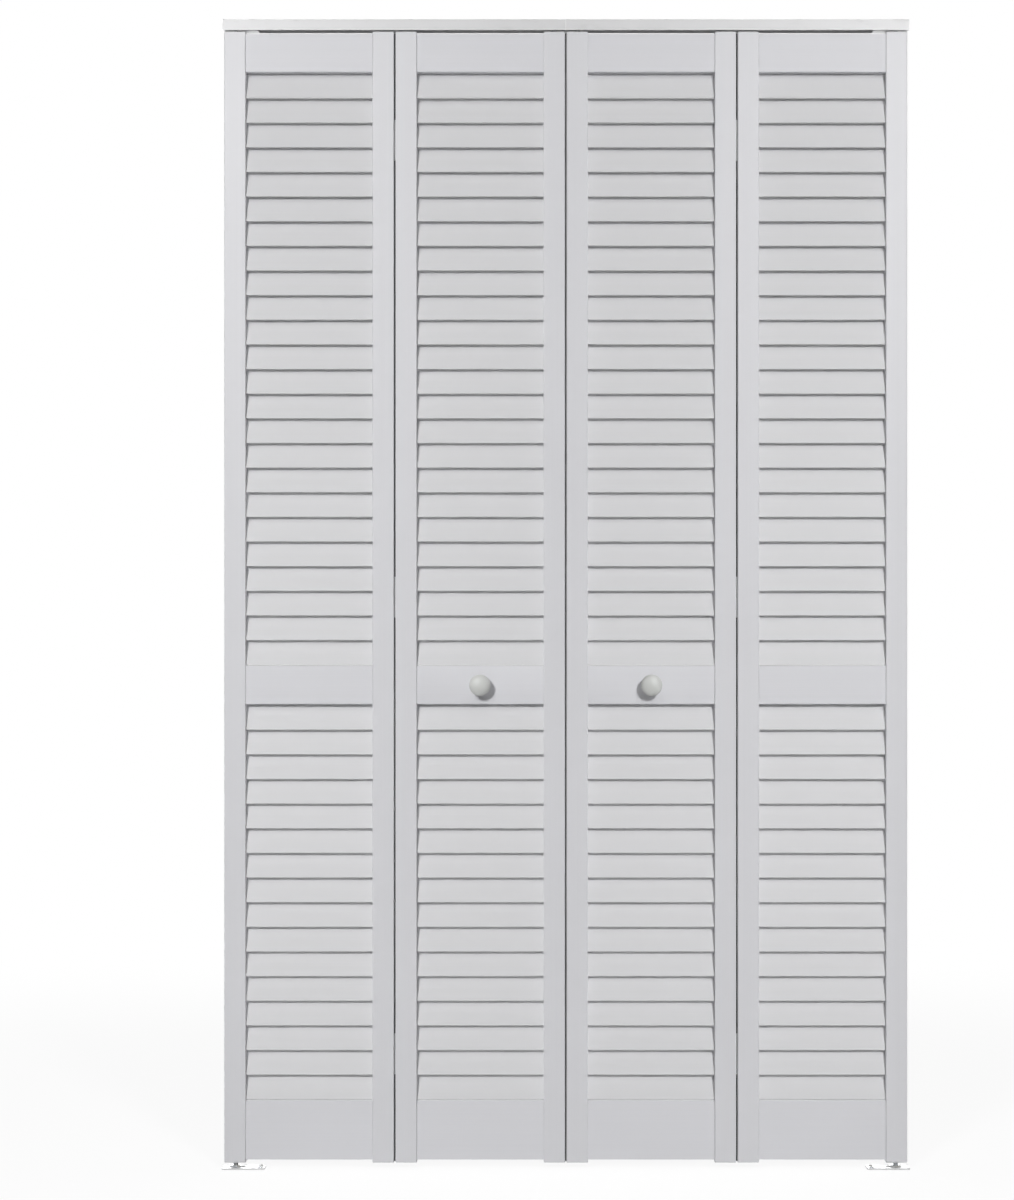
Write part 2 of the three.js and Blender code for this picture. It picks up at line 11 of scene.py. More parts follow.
import bmesh
import bpy
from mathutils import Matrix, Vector

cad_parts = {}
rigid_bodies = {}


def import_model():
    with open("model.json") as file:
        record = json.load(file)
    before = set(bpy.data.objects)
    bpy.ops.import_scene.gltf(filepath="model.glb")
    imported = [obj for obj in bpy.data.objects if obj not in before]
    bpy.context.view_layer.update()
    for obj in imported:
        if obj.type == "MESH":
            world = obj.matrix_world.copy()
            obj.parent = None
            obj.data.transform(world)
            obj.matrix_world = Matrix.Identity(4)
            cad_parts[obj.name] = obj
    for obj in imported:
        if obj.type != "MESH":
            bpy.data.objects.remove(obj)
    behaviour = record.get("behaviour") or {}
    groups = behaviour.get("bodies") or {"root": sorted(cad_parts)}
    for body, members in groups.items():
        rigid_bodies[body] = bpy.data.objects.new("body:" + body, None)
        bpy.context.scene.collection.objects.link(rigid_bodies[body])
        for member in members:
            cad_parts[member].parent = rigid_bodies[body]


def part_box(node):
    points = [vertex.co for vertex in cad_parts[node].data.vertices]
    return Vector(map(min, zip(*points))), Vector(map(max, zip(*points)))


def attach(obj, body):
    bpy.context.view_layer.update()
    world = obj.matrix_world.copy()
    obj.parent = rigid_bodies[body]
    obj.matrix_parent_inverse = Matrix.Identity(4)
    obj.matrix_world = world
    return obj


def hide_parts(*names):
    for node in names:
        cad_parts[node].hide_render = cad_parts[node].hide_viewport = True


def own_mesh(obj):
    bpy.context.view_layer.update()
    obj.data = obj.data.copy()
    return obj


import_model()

LOG = logging.getLogger("bifold_door")

# Smallest share of an edge that runs along an axis, and of a normal that looks along one.
ALONG_SHARE = 0.99
FACING_SHARE = 0.9
# Reach within which points are one, in metres, and angle within which faces are one flat face.
MERGE_REACH = 1e-6
FLAT_ANGLE = math.radians(1.0)
# Weight of the large faces in a corner's normal, in percent.
FLAT_WEIGHT = 100
# How far a drill reaches past the face that it leaves, in metres.
CUT_OVERRUN = 0.001
# Upward share of a normal at which dust starts to lie, and at which it lies in full.
LEDGE_START, LEDGE_FULL = 0.35, 0.95

Colour = Tuple[float, float, float]
Ring = Tuple[float, float]
Piece = bpy.types.Object


# Names and places


class Side(Enum):
    """The two folding pairs, by the jamb that each hangs at."""

    LEFT = "left"
    RIGHT = "right"

    @property
    def sign(self) -> float:
        """Direction of this side along X."""
        return -1.0 if self is Side.LEFT else 1.0


class Grain(Enum):
    """Run of the fine lines that extruding leaves, as the stretch of a pattern along X, Y and Z."""

    UPRIGHT = (1.0, 1.0, 0.004)
    CROSS = (0.004, 1.0, 1.0)


class Way(Enum):
    """Direction that a turned piece's axis takes, as turns about X, Y and Z."""

    UP = (0.0, 0.0, 0.0)
    DOWN = (math.pi, 0.0, 0.0)
    TO_ROOM = (math.pi / 2, 0.0, 0.0)
    TO_CLOSET = (-math.pi / 2, 0.0, 0.0)


@dataclass(frozen=True)
class Span:
    """Box that a solid of the model fills at rest.

    Attributes:
        low: lowest corner
        high: highest corner
    """

    low: Vector
    high: Vector

    @classmethod
    def of(cls, node: str) -> "Span":
        """Take the box of a node of the model."""
        low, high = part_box(node)
        return cls(Vector(low), Vector(high))

    @property
    def middle(self) -> Vector:
        """Middle of the box."""
        return (self.low + self.high) / 2


# Work on the meshes


class Bench:
    """Modelling steps as done by hand, one piece at a time."""

    @staticmethod
    def pick(*pieces: Piece) -> None:
        """Select these pieces alone and make the first one active."""
        bpy.ops.object.select_all(action="DESELECT")
        for piece in pieces:
            piece.select_set(True)
        bpy.context.view_layer.objects.active = pieces[0]

    @staticmethod
    def named(name: str) -> Piece:
        """Name the piece that was just added, and its mesh."""
        piece = bpy.context.active_object
        piece.name = name
        piece.data.name = name
        return piece

    @staticmethod
    def settle(piece: Piece) -> Piece:
        """Put a piece's place, turn and size into its mesh."""
        Bench.pick(piece)
        bpy.ops.object.transform_apply(location=True, rotation=True, scale=True)
        return piece

    @staticmethod
    @contextmanager
    def shaping(piece: Piece, kind: str = "EDGE") -> Iterator[None]:
        """Hold a piece in edit mode with nothing selected.

        Args:
            piece: the piece to shape
            kind: what is selected there, VERT, EDGE or FACE
        """
        Bench.pick(piece)
        bpy.ops.object.mode_set(mode="EDIT")
        bpy.ops.mesh.select_mode(type=kind)
        bpy.ops.mesh.select_all(action="DESELECT")
        yield
        bpy.ops.object.mode_set(mode="OBJECT")

    @staticmethod
    def select_edges(piece: Piece, test: Callable[[Any], bool]) -> None:
        """Select the edges that pass a test, in edit mode."""
        bpy.ops.mesh.select_all(action="DESELECT")
        mesh = bmesh.from_edit_mesh(piece.data)
        for edge in mesh.edges:
            if test(edge):
                edge.select_set(True)
        mesh.select_flush_mode()
        bmesh.update_edit_mesh(piece.data)

    @staticmethod
    def select_faces(piece: Piece, test: Callable[[Any], bool]) -> None:
        """Select the faces that pass a test, in edit mode."""
        bpy.ops.mesh.select_all(action="DESELECT")
        mesh = bmesh.from_edit_mesh(piece.data)
        mesh.normal_update()
        for face in mesh.faces:
            if test(face):
                face.select_set(True)
        mesh.select_flush_mode()
        bmesh.update_edit_mesh(piece.data)

    @staticmethod
    def runs_along(edge: Any, axis: int) -> bool:
        """Tell whether an edge runs along X (0), Y (1) or Z (2)."""
        run = edge.verts[1].co - edge.verts[0].co
        return abs(run[axis]) > ALONG_SHARE * run.length

    @staticmethod
    def bar(name: str, low: Sequence[float], high: Sequence[float]) -> Piece:
        """Add a square bar between two corners.

        Args:
            name: name of the piece
            low: lowest corner
            high: highest corner

        Returns:
            The bar, with its place in its mesh.
        """
        low, high = Vector(low), Vector(high)
        bpy.ops.object.select_all(action="DESELECT")
        bpy.ops.mesh.primitive_cube_add(size=1.0, location=(low + high) / 2)
        piece = Bench.named(name)
        piece.scale = high - low
        return Bench.settle(piece)

    @staticmethod
    def round_edges(
        piece: Piece, radius: float, steps: int, test: Callable[[Any], bool]
    ) -> Piece:
        """Round the edges that pass a test.

        Args:
            piece: the piece to shape
            radius: radius of the rounding
            steps: faces across the rounding
            test: tells which edges are rounded

        Returns:
            The same piece.
        """
        with Bench.shaping(piece):
            Bench.select_edges(piece, test)
            bpy.ops.mesh.bevel(offset=radius, segments=steps, profile=0.5, affect="EDGES")
        return piece

    @staticmethod
    def soften(piece: Piece, radius: float, steps: int = 2, sharp: float = 40.0) -> Piece:
        """Round all of a piece's sharp edges a little.

        Args:
            piece: the piece to shape
            radius: width of the rounding
            steps: faces across the rounding
            sharp: smallest angle of an edge that is rounded, in degrees

        Returns:
            The same piece.
        """
        bevel = piece.modifiers.new("softened_edges", "BEVEL")
        bevel.width = radius
        bevel.segments = steps
        bevel.limit_method = "ANGLE"
        bevel.angle_limit = math.radians(sharp)
        bevel.use_clamp_overlap = True
        Bench.apply(piece, bevel)
        return piece

    @staticmethod
    def apply(piece: Piece, modifier: bpy.types.Modifier) -> None:
        """Apply one modifier."""
        Bench.pick(piece)
        bpy.ops.object.modifier_apply(modifier=modifier.name)

    @staticmethod
    def cut(piece: Piece, tool: Piece) -> Piece:
        """Cut a tool's shape out of a piece and take the tool away."""
        modifier = piece.modifiers.new("cut", "BOOLEAN")
        modifier.operation = "DIFFERENCE"
        modifier.solver = "EXACT"
        modifier.object = tool
        Bench.apply(piece, modifier)
        mesh = tool.data
        bpy.data.objects.remove(tool)
        bpy.data.meshes.remove(mesh)
        return piece

    @staticmethod
    def turned(
        name: str,
        rings: Sequence[Ring],
        sides: int,
        place: Sequence[float] = (0.0, 0.0, 0.0),
        way: Way = Way.UP,
    ) -> Piece:
        """Turn a closed piece by extruding and resizing one ring after another.

        Args:
            name: name of the piece
            rings: reach along the axis and radius of each ring, from end to end
            sides: faces round the piece
            place: where reach zero goes
            way: direction that the axis takes

        Returns:
            The turned piece, with its place in its mesh.
        """
        (reach, radius), *others = rings
        bpy.ops.object.select_all(action="DESELECT")
        bpy.ops.mesh.primitive_circle_add(
            vertices=sides, radius=radius, fill_type="NGON", location=(0.0, 0.0, reach)
        )
        piece = Bench.settle(Bench.named(name))
        with Bench.shaping(piece, "FACE"):
            bpy.ops.mesh.select_all(action="SELECT")
            for next_reach, next_radius in others:
                bpy.ops.mesh.extrude_region_move(
                    TRANSFORM_OT_translate={"value": (0.0, 0.0, next_reach - reach)}
                )
                if next_radius != radius:
                    share = next_radius / radius
                    bpy.ops.transform.resize(
                        value=(share, share, 1.0), center_override=(0.0, 0.0, next_reach)
                    )
                reach, radius = next_reach, next_radius
            bpy.ops.mesh.select_all(action="SELECT")
            bpy.ops.mesh.normals_make_consistent(inside=False)
        piece.rotation_euler = way.value
        piece.location = place
        return Bench.settle(piece)

    @staticmethod
    def drill(
        piece: Piece,
        place: Sequence[float],
        radius: float,
        depth: Tuple[float, float],
        way: Way = Way.UP,
        sides: int = 32,
    ) -> Piece:
        """Drill a round hole into a piece.

        Args:
            piece: the piece that gets the hole
            place: point on the hole's axis
            radius: radius of the hole
            depth: where the hole starts and ends, from the place along the way
            way: direction of the hole
            sides: faces round the hole

        Returns:
            The same piece.
        """
        start, end = depth
        tool = Bench.turned("drill", [(start, radius), (end, radius)], sides, place, way)
        return Bench.cut(piece, tool)

    @staticmethod
    def copied(
        piece: Piece,
        name: str,
        shift: Sequence[float] = (0.0, 0.0, 0.0),
        turn: Sequence[float] = (0.0, 0.0, 0.0),
    ) -> Piece:
        """Copy a piece with a mesh of its own, turn it about the origin and move it.

        Args:
            piece: the piece to copy
            name: name of the copy
            shift: how far the copy is moved
            turn: turns about X, Y and Z before the move

        Returns:
            The copy, with its place in its mesh.
        """
        Bench.pick(piece)
        bpy.ops.object.duplicate(linked=False)
        twin = Bench.named(name)
        twin.rotation_euler = turn
        twin.location = shift
        return Bench.settle(twin)

    @staticmethod
    def traced(node: str, name: str) -> Piece:
        """Copy a node of the model as a clean mesh, with its flat faces whole.

        Args:
            node: the node to copy
            name: name of the copy

        Returns:
            The copy, ready for shaping.
        """
        source = bpy.data.objects[node]
        piece = bpy.data.objects.new(name, source.data.copy())
        piece.data.name = name
        bpy.context.scene.collection.objects.link(piece)
        piece.data.materials.clear()
        with Bench.shaping(piece, "VERT"):
            bpy.ops.mesh.select_all(action="SELECT")
            bpy.ops.mesh.remove_doubles(threshold=MERGE_REACH)
            bpy.ops.mesh.dissolve_limited(angle_limit=FLAT_ANGLE)
            bpy.ops.mesh.normals_make_consistent(inside=False)
        return piece

    @staticmethod
    def wound(piece: Piece, rise: float, turns: int, steps: int) -> Piece:
        """Wind a piece's edges about the Z axis into a closed helical skin.

        Args:
            piece: ring or line of edges beside the axis
            rise: rise of one turn
            turns: number of turns
            steps: faces round one turn

        Returns:
            The same piece.
        """
        winding = piece.modifiers.new("winding", "SCREW")
        winding.axis = "Z"
        winding.angle = 2 * math.pi
        winding.screw_offset = rise
        winding.iterations = turns
        winding.steps = steps
        winding.render_steps = steps
        Bench.apply(piece, winding)
        with Bench.shaping(piece, "VERT"):
            bpy.ops.mesh.select_all(action="SELECT")
            bpy.ops.mesh.remove_doubles(threshold=MERGE_REACH)
            bpy.ops.mesh.fill_holes(sides=0)
            bpy.ops.mesh.normals_make_consistent(inside=False)
        return piece

    @staticmethod
    def joined(name: str, pieces: Sequence[Piece]) -> Piece:
        """Join several pieces into one."""
        Bench.pick(*pieces)
        if len(pieces) > 1:
            bpy.ops.object.join()
        return Bench.named(name)

    @staticmethod
    def finish(piece: Piece, angle: float = 35.0) -> Piece:
        """Shade a piece smooth where it is round and keep its flats flat.

        Args:
            piece: the piece to shade
            angle: largest angle that is shaded smooth, in degrees

        Returns:
            The same piece.
        """
        Bench.pick(piece)
        bpy.ops.object.shade_smooth_by_angle(angle=math.radians(angle))
        modifier = piece.modifiers.new("flat_faces", "WEIGHTED_NORMAL")
        modifier.mode = "FACE_AREA"
        modifier.weight = FLAT_WEIGHT
        modifier.keep_sharp = True
        Bench.apply(piece, modifier)
        return piece


def hand_over(
    piece: Piece, body: str, slot: str, finish: bpy.types.Material, *nodes: str
) -> Piece:
    """Dress a finished piece and hang it on its body.

    Args:
        piece: the finished piece
        body: body of the model that it moves with
        slot: name of a material slot; not used
        finish: its material
        nodes: nodes of the model that it stands for

    Returns:
        The same piece.
    """
    piece.data.materials.clear()
    piece.data.materials.append(finish)
    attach(piece, body)
    if nodes:
        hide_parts(*nodes)
    LOG.info("%s rides on %s, %d faces", piece.name, body, len(piece.data.polygons))
    return piece


# Shader maths

Input = Union["Value", bpy.types.NodeSocket, float, Sequence[float]]


@dataclass(frozen=True)
class Value:
    """A number that varies over a surface, on which sums and products add their nodes.

    Attributes:
        graph: the material's nodes
        socket: the output that gives the number
    """

    graph: "Graph"
    socket: bpy.types.NodeSocket

    def maths(self, operation: str, *numbers: Input) -> "Value":
        """Add one Math node on the given numbers."""
        node = self.graph.node(
            "ShaderNodeMath", {"operation": operation}, dict(enumerate(numbers))
        )
        return Value(self.graph, node.outputs[0])

    def __add__(self, other: Input) -> "Value":
        """Sum."""
        return self.maths("ADD", self, other)

    def __radd__(self, other: Input) -> "Value":
        """Sum, reflected."""
        return self.maths("ADD", other, self)

    def __sub__(self, other: Input) -> "Value":
        """Difference."""
        return self.maths("SUBTRACT", self, other)

    def __rsub__(self, other: Input) -> "Value":
        """Difference, reflected."""
        return self.maths("SUBTRACT", other, self)

    def __mul__(self, other: Input) -> "Value":
        """Product."""
        return self.maths("MULTIPLY", self, other)

    def swing(self, reach: float) -> "Value":
        """Swing about 0, over the given reach in all, where this number goes from 0 to 1."""
        return (self - 0.5) * reach

    def ramp(self, low: float, high: float) -> "Value":
        """Rise smoothly from 0 at the low number to 1 at the high one."""
        node = self.graph.node(
            "ShaderNodeMapRange",
            {"interpolation_type": "SMOOTHSTEP"},
            {"Value": self, "From Min": low, "From Max": high},
        )
        return Value(self.graph, node.outputs[0])


@dataclass(frozen=True)
class Cells:
    """Setting of one soft noise pattern.

    Attributes:
        scale: cells to a metre
        detail: how many finer layers it has
        stretch: how the cells are narrowed along X, Y and Z
        shift: where the pattern is moved to
    """

    scale: float
    detail: float = 2.0
    stretch: Tuple[float, float, float] = (1.0, 1.0, 1.0)
    shift: Tuple[float, float, float] = (0.0, 0.0, 0.0)

    def along(self, grain: Grain) -> "Cells":
        """Give the same pattern drawn out along a grain."""
        return replace(self, stretch=grain.value)


@dataclass(frozen=True)
class Graph:
    """Nodes of a material or of the surround.

    Attributes:
        tree: the tree that the nodes are added to
        owner: what the tree belongs to
    """

    tree: bpy.types.NodeTree
    owner: Union[bpy.types.Material, bpy.types.World]

    @classmethod
    def on(cls, owner: Union[bpy.types.Material, bpy.types.World]) -> "Graph":
        """Start afresh on a material or a surround, without nodes."""
        owner.use_nodes = True
        owner.node_tree.nodes.clear()
        return cls(owner.node_tree, owner)

    @classmethod
    def named(cls, name: str) -> "Graph":
        """Start a new material."""
        return cls.on(bpy.data.materials.new(name))

    def node(
        self,
        kind: str,
        settings: Optional[Dict[str, Any]] = None,
        inputs: Optional[Dict[Union[int, str], Input]] = None,
    ) -> bpy.types.Node:
        """Add a node.

        Args:
            kind: type of the node
            settings: its own settings, set first
            inputs: values or links of its sockets

        Returns:
            The new node.
        """
        node = self.tree.nodes.new(kind)
        for key, value in (settings or {}).items():
            setattr(node, key, value)
        for key, value in (inputs or {}).items():
            if isinstance(value, Value):
                value = value.socket
            if isinstance(value, bpy.types.NodeSocket):
                self.tree.links.new(value, node.inputs[key])
            else:
                node.inputs[key].default_value = value
        return node

    def value(self, socket: bpy.types.NodeSocket) -> Value:
        """Take a socket as a number."""
        return Value(self, socket)

    def noise(self, cells: Cells) -> Value:
        """Add soft noise on the piece's own place, about 0.5 on average."""
        place = self.node("ShaderNodeTexCoord").outputs["Object"]
        mapped = self.node(
            "ShaderNodeMapping",
            {},
            {"Vector": place, "Scale": cells.stretch, "Location": cells.shift},
        )
        noise = self.node(
            "ShaderNodeTexNoise",
            {},
            {"Vector": mapped.outputs[0], "Scale": cells.scale, "Detail": cells.detail},
        )
        return self.value(noise.outputs[0])

    def facing_up(self) -> Value:
        """Give 1 on faces that look up and 0 on upright ones."""
        normal = self.node("ShaderNodeNewGeometry").outputs["Normal"]
        parts = self.node("ShaderNodeSeparateXYZ", {}, {0: normal})
        return self.value(parts.outputs["Z"]).ramp(LEDGE_START, LEDGE_FULL)

    def shaded(self, colour: Colour, tone: Value) -> bpy.types.NodeSocket:
        """Make a colour lighter or darker by a number about 1."""
        node = self.node(
            "ShaderNodeVectorMath", {"operation": "SCALE"}, {0: colour, "Scale": tone}
        )
        return node.outputs[0]

    def mixed(self, share: Input, first: Input, second: Input) -> bpy.types.NodeSocket:
        """Mix two colours by a share of the second."""
        node = self.node("ShaderNodeMix", {"data_type": "RGBA"}, {0: share, 6: first, 7: second})
        return node.outputs[2]

    def bumped(self, height: Value, depth: float, strength: float) -> bpy.types.NodeSocket:
        """Turn a height of 0 to 1 into a normal.

        Args:
            height: the height
            depth: how far 1 stands above 0, in metres
            strength: share of the effect

        Returns:
            The normal.
        """
        node = self.node(
            "ShaderNodeBump", {}, {"Height": height, "Distance": depth, "Strength": strength}
        )
        return node.outputs[0]

    def blended(
        self, share: Input, first: bpy.types.Node, second: bpy.types.Node
    ) -> bpy.types.NodeSocket:
        """Blend two shaders by a share of the second."""
        node = self.node(
            "ShaderNodeMixShader", {}, {0: share, 1: first.outputs[0], 2: second.outputs[0]}
        )
        return node.outputs[0]

    def surface(self, inputs: Dict[Union[int, str], Input]) -> bpy.types.Material:
        """Close a material with one shader, and give the material."""
        shader = self.node("ShaderNodeBsdfPrincipled", {}, inputs)
        self.node("ShaderNodeOutputMaterial", {}, {"Surface": shader.outputs[0]})
        return self.owner


def solid(colour: Colour) -> Tuple[float, float, float, float]:
    """Give a colour with full cover."""
    return (*colour, 1.0)


def grey(level: float) -> Tuple[float, float, float, float]:
    """Give a plain grey with full cover, from 0 for black to 1 for white."""
    return (level, level, level, 1.0)


# Finishes


@dataclass(frozen=True)
class Vinyl:
    """Satin extruded vinyl with fine lines along its run and a little dust on its ledges.

    Attributes:
        name: name of the material
        colour: body colour
        grain: run of the extruding lines
        roughness: mean roughness
        gloss: strength of its reflections, 0.5 for a plain surface
        ior: refractive index
        lines: pattern of the fine lines
        broad_lines: pattern of the broad lines
        patches: pattern of the wide soft patches
        peel: pattern of the finest unevenness
        line_tone: how much the lines lighten and darken the colour
        patch_tone: how much the patches do
        line_roughness: how much the lines change the roughness
        patch_roughness: how much the patches do
        dust: colour of the dust on ledges
        dust_base: how evenly the dust lies, beside what the patches add
        dust_share: how thick the dust lies
        dust_roughness: how much the dust adds to the roughness
        relief: shares of the lines, the broad lines and the peel in the relief
        relief_depth: depth of the relief
        relief_strength: how strongly it shows
    """

    name: str
    colour: Colour
    grain: Grain
    roughness: float = 0.42
    gloss: float = 0.5
    ior: float = 1.49
    lines: Cells = Cells(520.0, 3.0)
    broad_lines: Cells = Cells(90.0, 1.0, shift=(0.3, 0.7, 0.1))
    patches: Cells = Cells(3.1, 3.0)
    peel: Cells = Cells(1100.0, 1.0)
    line_tone: float = 0.035
    patch_tone: float = 0.05
    line_roughness: float = 0.10
    patch_roughness: float = 0.14
    dust: Colour = (0.50, 0.49, 0.47)
    dust_base: float = 0.45
    dust_share: float = 0.16
    dust_roughness: float = 0.8
    relief: Tuple[float, float, float] = (0.45, 0.35, 0.20)
    relief_depth: float = 0.00006
    relief_strength: float = 0.6

    def material(self) -> bpy.types.Material:
        """Make the material."""
        graph = Graph.named(self.name)
        lines = graph.noise(self.lines.along(self.grain))
        broad = graph.noise(self.broad_lines.along(self.grain))
        patches = graph.noise(self.patches)
        peel = graph.noise(self.peel)
        tone = 1.0 + lines.swing(self.line_tone) + patches.swing(self.patch_tone)
        dust = graph.facing_up() * (self.dust_base + patches) * self.dust_share
        colour = graph.mixed(dust, graph.shaded(self.colour, tone), solid(self.dust))
        roughness = (
            self.roughness
            + patches.swing(self.patch_roughness)
            + lines.swing(self.line_roughness)
            + dust * self.dust_roughness
        )
        line_share, broad_share, peel_share = self.relief
        height = lines * line_share + broad * broad_share + peel * peel_share
        return graph.surface(
            {
                "Base Color": colour,
                "Roughness": roughness,
                "Normal": graph.bumped(height, self.relief_depth, self.relief_strength),
                "Specular IOR Level": self.gloss,
                "IOR": self.ior,
            }
        )


@dataclass(frozen=True)
class Moulded:
    """Moulded plastic with faint flow marks and a fine even texture.

    Attributes:
        name: name of the material
        colour: body colour
        roughness: mean roughness
        ior: refractive index
        flow: pattern of the flow marks
        fine: pattern of the fine texture
        dimples: pattern of the wider dimples
        flow_tone: how much the flow marks lighten and darken the colour
        fine_tone: how much the fine texture does
        flow_roughness: how much the flow marks change the roughness
        fine_roughness: how much the fine texture does
        relief: shares of the fine texture and the dimples in the relief
        relief_depth: depth of the relief
        relief_strength: how strongly it shows
    """

    name: str
    colour: Colour
    roughness: float
    ior: float = 1.5
    flow: Cells = Cells(28.0, 4.0, stretch=(1.0, 0.35, 1.0))
    fine: Cells = Cells(1500.0, 2.0)
    dimples: Cells = Cells(260.0, 1.0)
    flow_tone: float = 0.04
    fine_tone: float = 0.02
    flow_roughness: float = 0.16
    fine_roughness: float = 0.08
    relief: Tuple[float, float] = (0.55, 0.45)
    relief_depth: float = 0.00003
    relief_strength: float = 0.7

    def material(self) -> bpy.types.Material:
        """Make the material."""
        graph = Graph.named(self.name)
        flow = graph.noise(self.flow)
        fine = graph.noise(self.fine)
        dimples = graph.noise(self.dimples)
        tone = 1.0 + flow.swing(self.flow_tone) + fine.swing(self.fine_tone)
        colour = graph.shaded(self.colour, tone)
        roughness = (
            self.roughness + flow.swing(self.flow_roughness) + fine.swing(self.fine_roughness)
        )
        fine_share, dimple_share = self.relief
        height = fine * fine_share + dimples * dimple_share
        return graph.surface(
            {
                "Base Color": colour,
                "Roughness": roughness,
                "Normal": graph.bumped(height, self.relief_depth, self.relief_strength),
                "IOR": self.ior,
            }
        )


@dataclass(frozen=True)
class PowderCoat:
    """White powder coat on steel, with its orange peel and a little rubbed grime.

    Attributes:
        name: name of the material
        colour: colour of the coat
        grime: colour of the grime
        roughness: mean roughness
        ior: refractive index
        peel: pattern of the orange peel
        patches: pattern of the wide soft patches
        rubs: pattern of the grime
        rub_range: numbers of that pattern where the grime starts and where it is full
        peel_tone: how much the peel lightens and darkens the colour
        patch_tone: how much the patches do
        grime_share: how much the grime covers
        patch_roughness: how much the patches change the roughness
        grime_roughness: how much the grime adds to it
        relief_depth: depth of the orange peel
        relief_strength: how strongly it shows
    """

    name: str
    colour: Colour
    grime: Colour = (0.40, 0.39, 0.37)
    roughness: float = 0.36
    ior: float = 1.5
    peel: Cells = Cells(620.0, 1.5)
    patches: Cells = Cells(14.0, 4.0)
    rubs: Cells = Cells(45.0, 5.0, (0.5, 1.0, 1.0), (0.2, 0.4, 0.6))
    rub_range: Tuple[float, float] = (0.60, 0.78)
    peel_tone: float = 0.03
    patch_tone: float = 0.06
    grime_share: float = 0.14
    patch_roughness: float = 0.18
    grime_roughness: float = 0.12
    relief_depth: float = 0.00007
    relief_strength: float = 0.6

    def material(self) -> bpy.types.Material:
        """Make the material."""
        graph = Graph.named(self.name)
        peel = graph.noise(self.peel)
        patches = graph.noise(self.patches)
        rubbed = graph.noise(self.rubs).ramp(*self.rub_range)
        tone = 1.0 + patches.swing(self.patch_tone) + peel.swing(self.peel_tone)
        coat = graph.shaded(self.colour, tone)
        roughness = (
            self.roughness
            + patches.swing(self.patch_roughness)
            + rubbed * self.grime_roughness
        )
        return graph.surface(
            {
                "Base Color": graph.mixed(rubbed * self.grime_share, coat, solid(self.grime)),
                "Roughness": roughness,
                "Normal": graph.bumped(peel, self.relief_depth, self.relief_strength),
                "IOR": self.ior,
            }
        )


@dataclass(frozen=True)
class ZincPlate:
    """Bright zinc plate with turning marks and a patchy passive film.

    Attributes:
        name: name of the material
        colour: colour of the clean zinc
        film: colour where the film is thicker
        roughness: mean roughness
        metallic: how metallic the clean zinc is
        marks: pattern of the turning marks
        film_cells: pattern of the film
        grit: pattern of the fine grit
        film_range: numbers of the film's pattern where its colour starts and where it is full
        film_share: how much the film's colour covers
        dull_range: numbers of the film's pattern where it starts to dull and where it is dullest
        dull_share: how much of the metallic look that takes
        mark_tone: how much the marks lighten and darken the colour
        grit_tone: how much the grit does
        film_roughness: how much the film changes the roughness
        mark_roughness: how much the marks do
        relief: shares of the marks and the grit in the relief
        relief_depth: depth of the relief
        relief_strength: how strongly it shows
    """

    name: str
    colour: Colour
    film: Colour
    roughness: float = 0.30
    metallic: float = 0.94
    marks: Cells = Cells(2600.0, 2.0, stretch=(0.05, 0.05, 1.0))
    film_cells: Cells = Cells(120.0, 4.0)
    grit: Cells = Cells(1800.0, 2.0)
    film_range: Tuple[float, float] = (0.42, 0.68)
    film_share: float = 0.7
    dull_range: Tuple[float, float] = (0.55, 0.80)
    dull_share: float = 0.12
    mark_tone: float = 0.12
    grit_tone: float = 0.08
    film_roughness: float = 0.28
    mark_roughness: float = 0.16
    relief: Tuple[float, float] = (0.6, 0.4)
    relief_depth: float = 0.00003
    relief_strength: float = 0.7

    def material(self) -> bpy.types.Material:
        """Make the material."""
        graph = Graph.named(self.name)
        marks = graph.noise(self.marks)
        film = graph.noise(self.film_cells)
        grit = graph.noise(self.grit)
        tone = 1.0 + marks.swing(self.mark_tone) + grit.swing(self.grit_tone)
        stained = film.ramp(*self.film_range) * self.film_share
        colour = graph.mixed(stained, graph.shaded(self.colour, tone), solid(self.film))
        metallic = self.metallic - film.ramp(*self.dull_range) * self.dull_share
        roughness = (
            self.roughness + film.swing(self.film_roughness) + marks.swing(self.mark_roughness)
        )
        mark_share, grit_share = self.relief
        height = marks * mark_share + grit * grit_share
        return graph.surface(
            {
                "Base Color": colour,
                "Metallic": metallic,
                "Roughness": roughness,
                "Normal": graph.bumped(height, self.relief_depth, self.relief_strength),
            }
        )


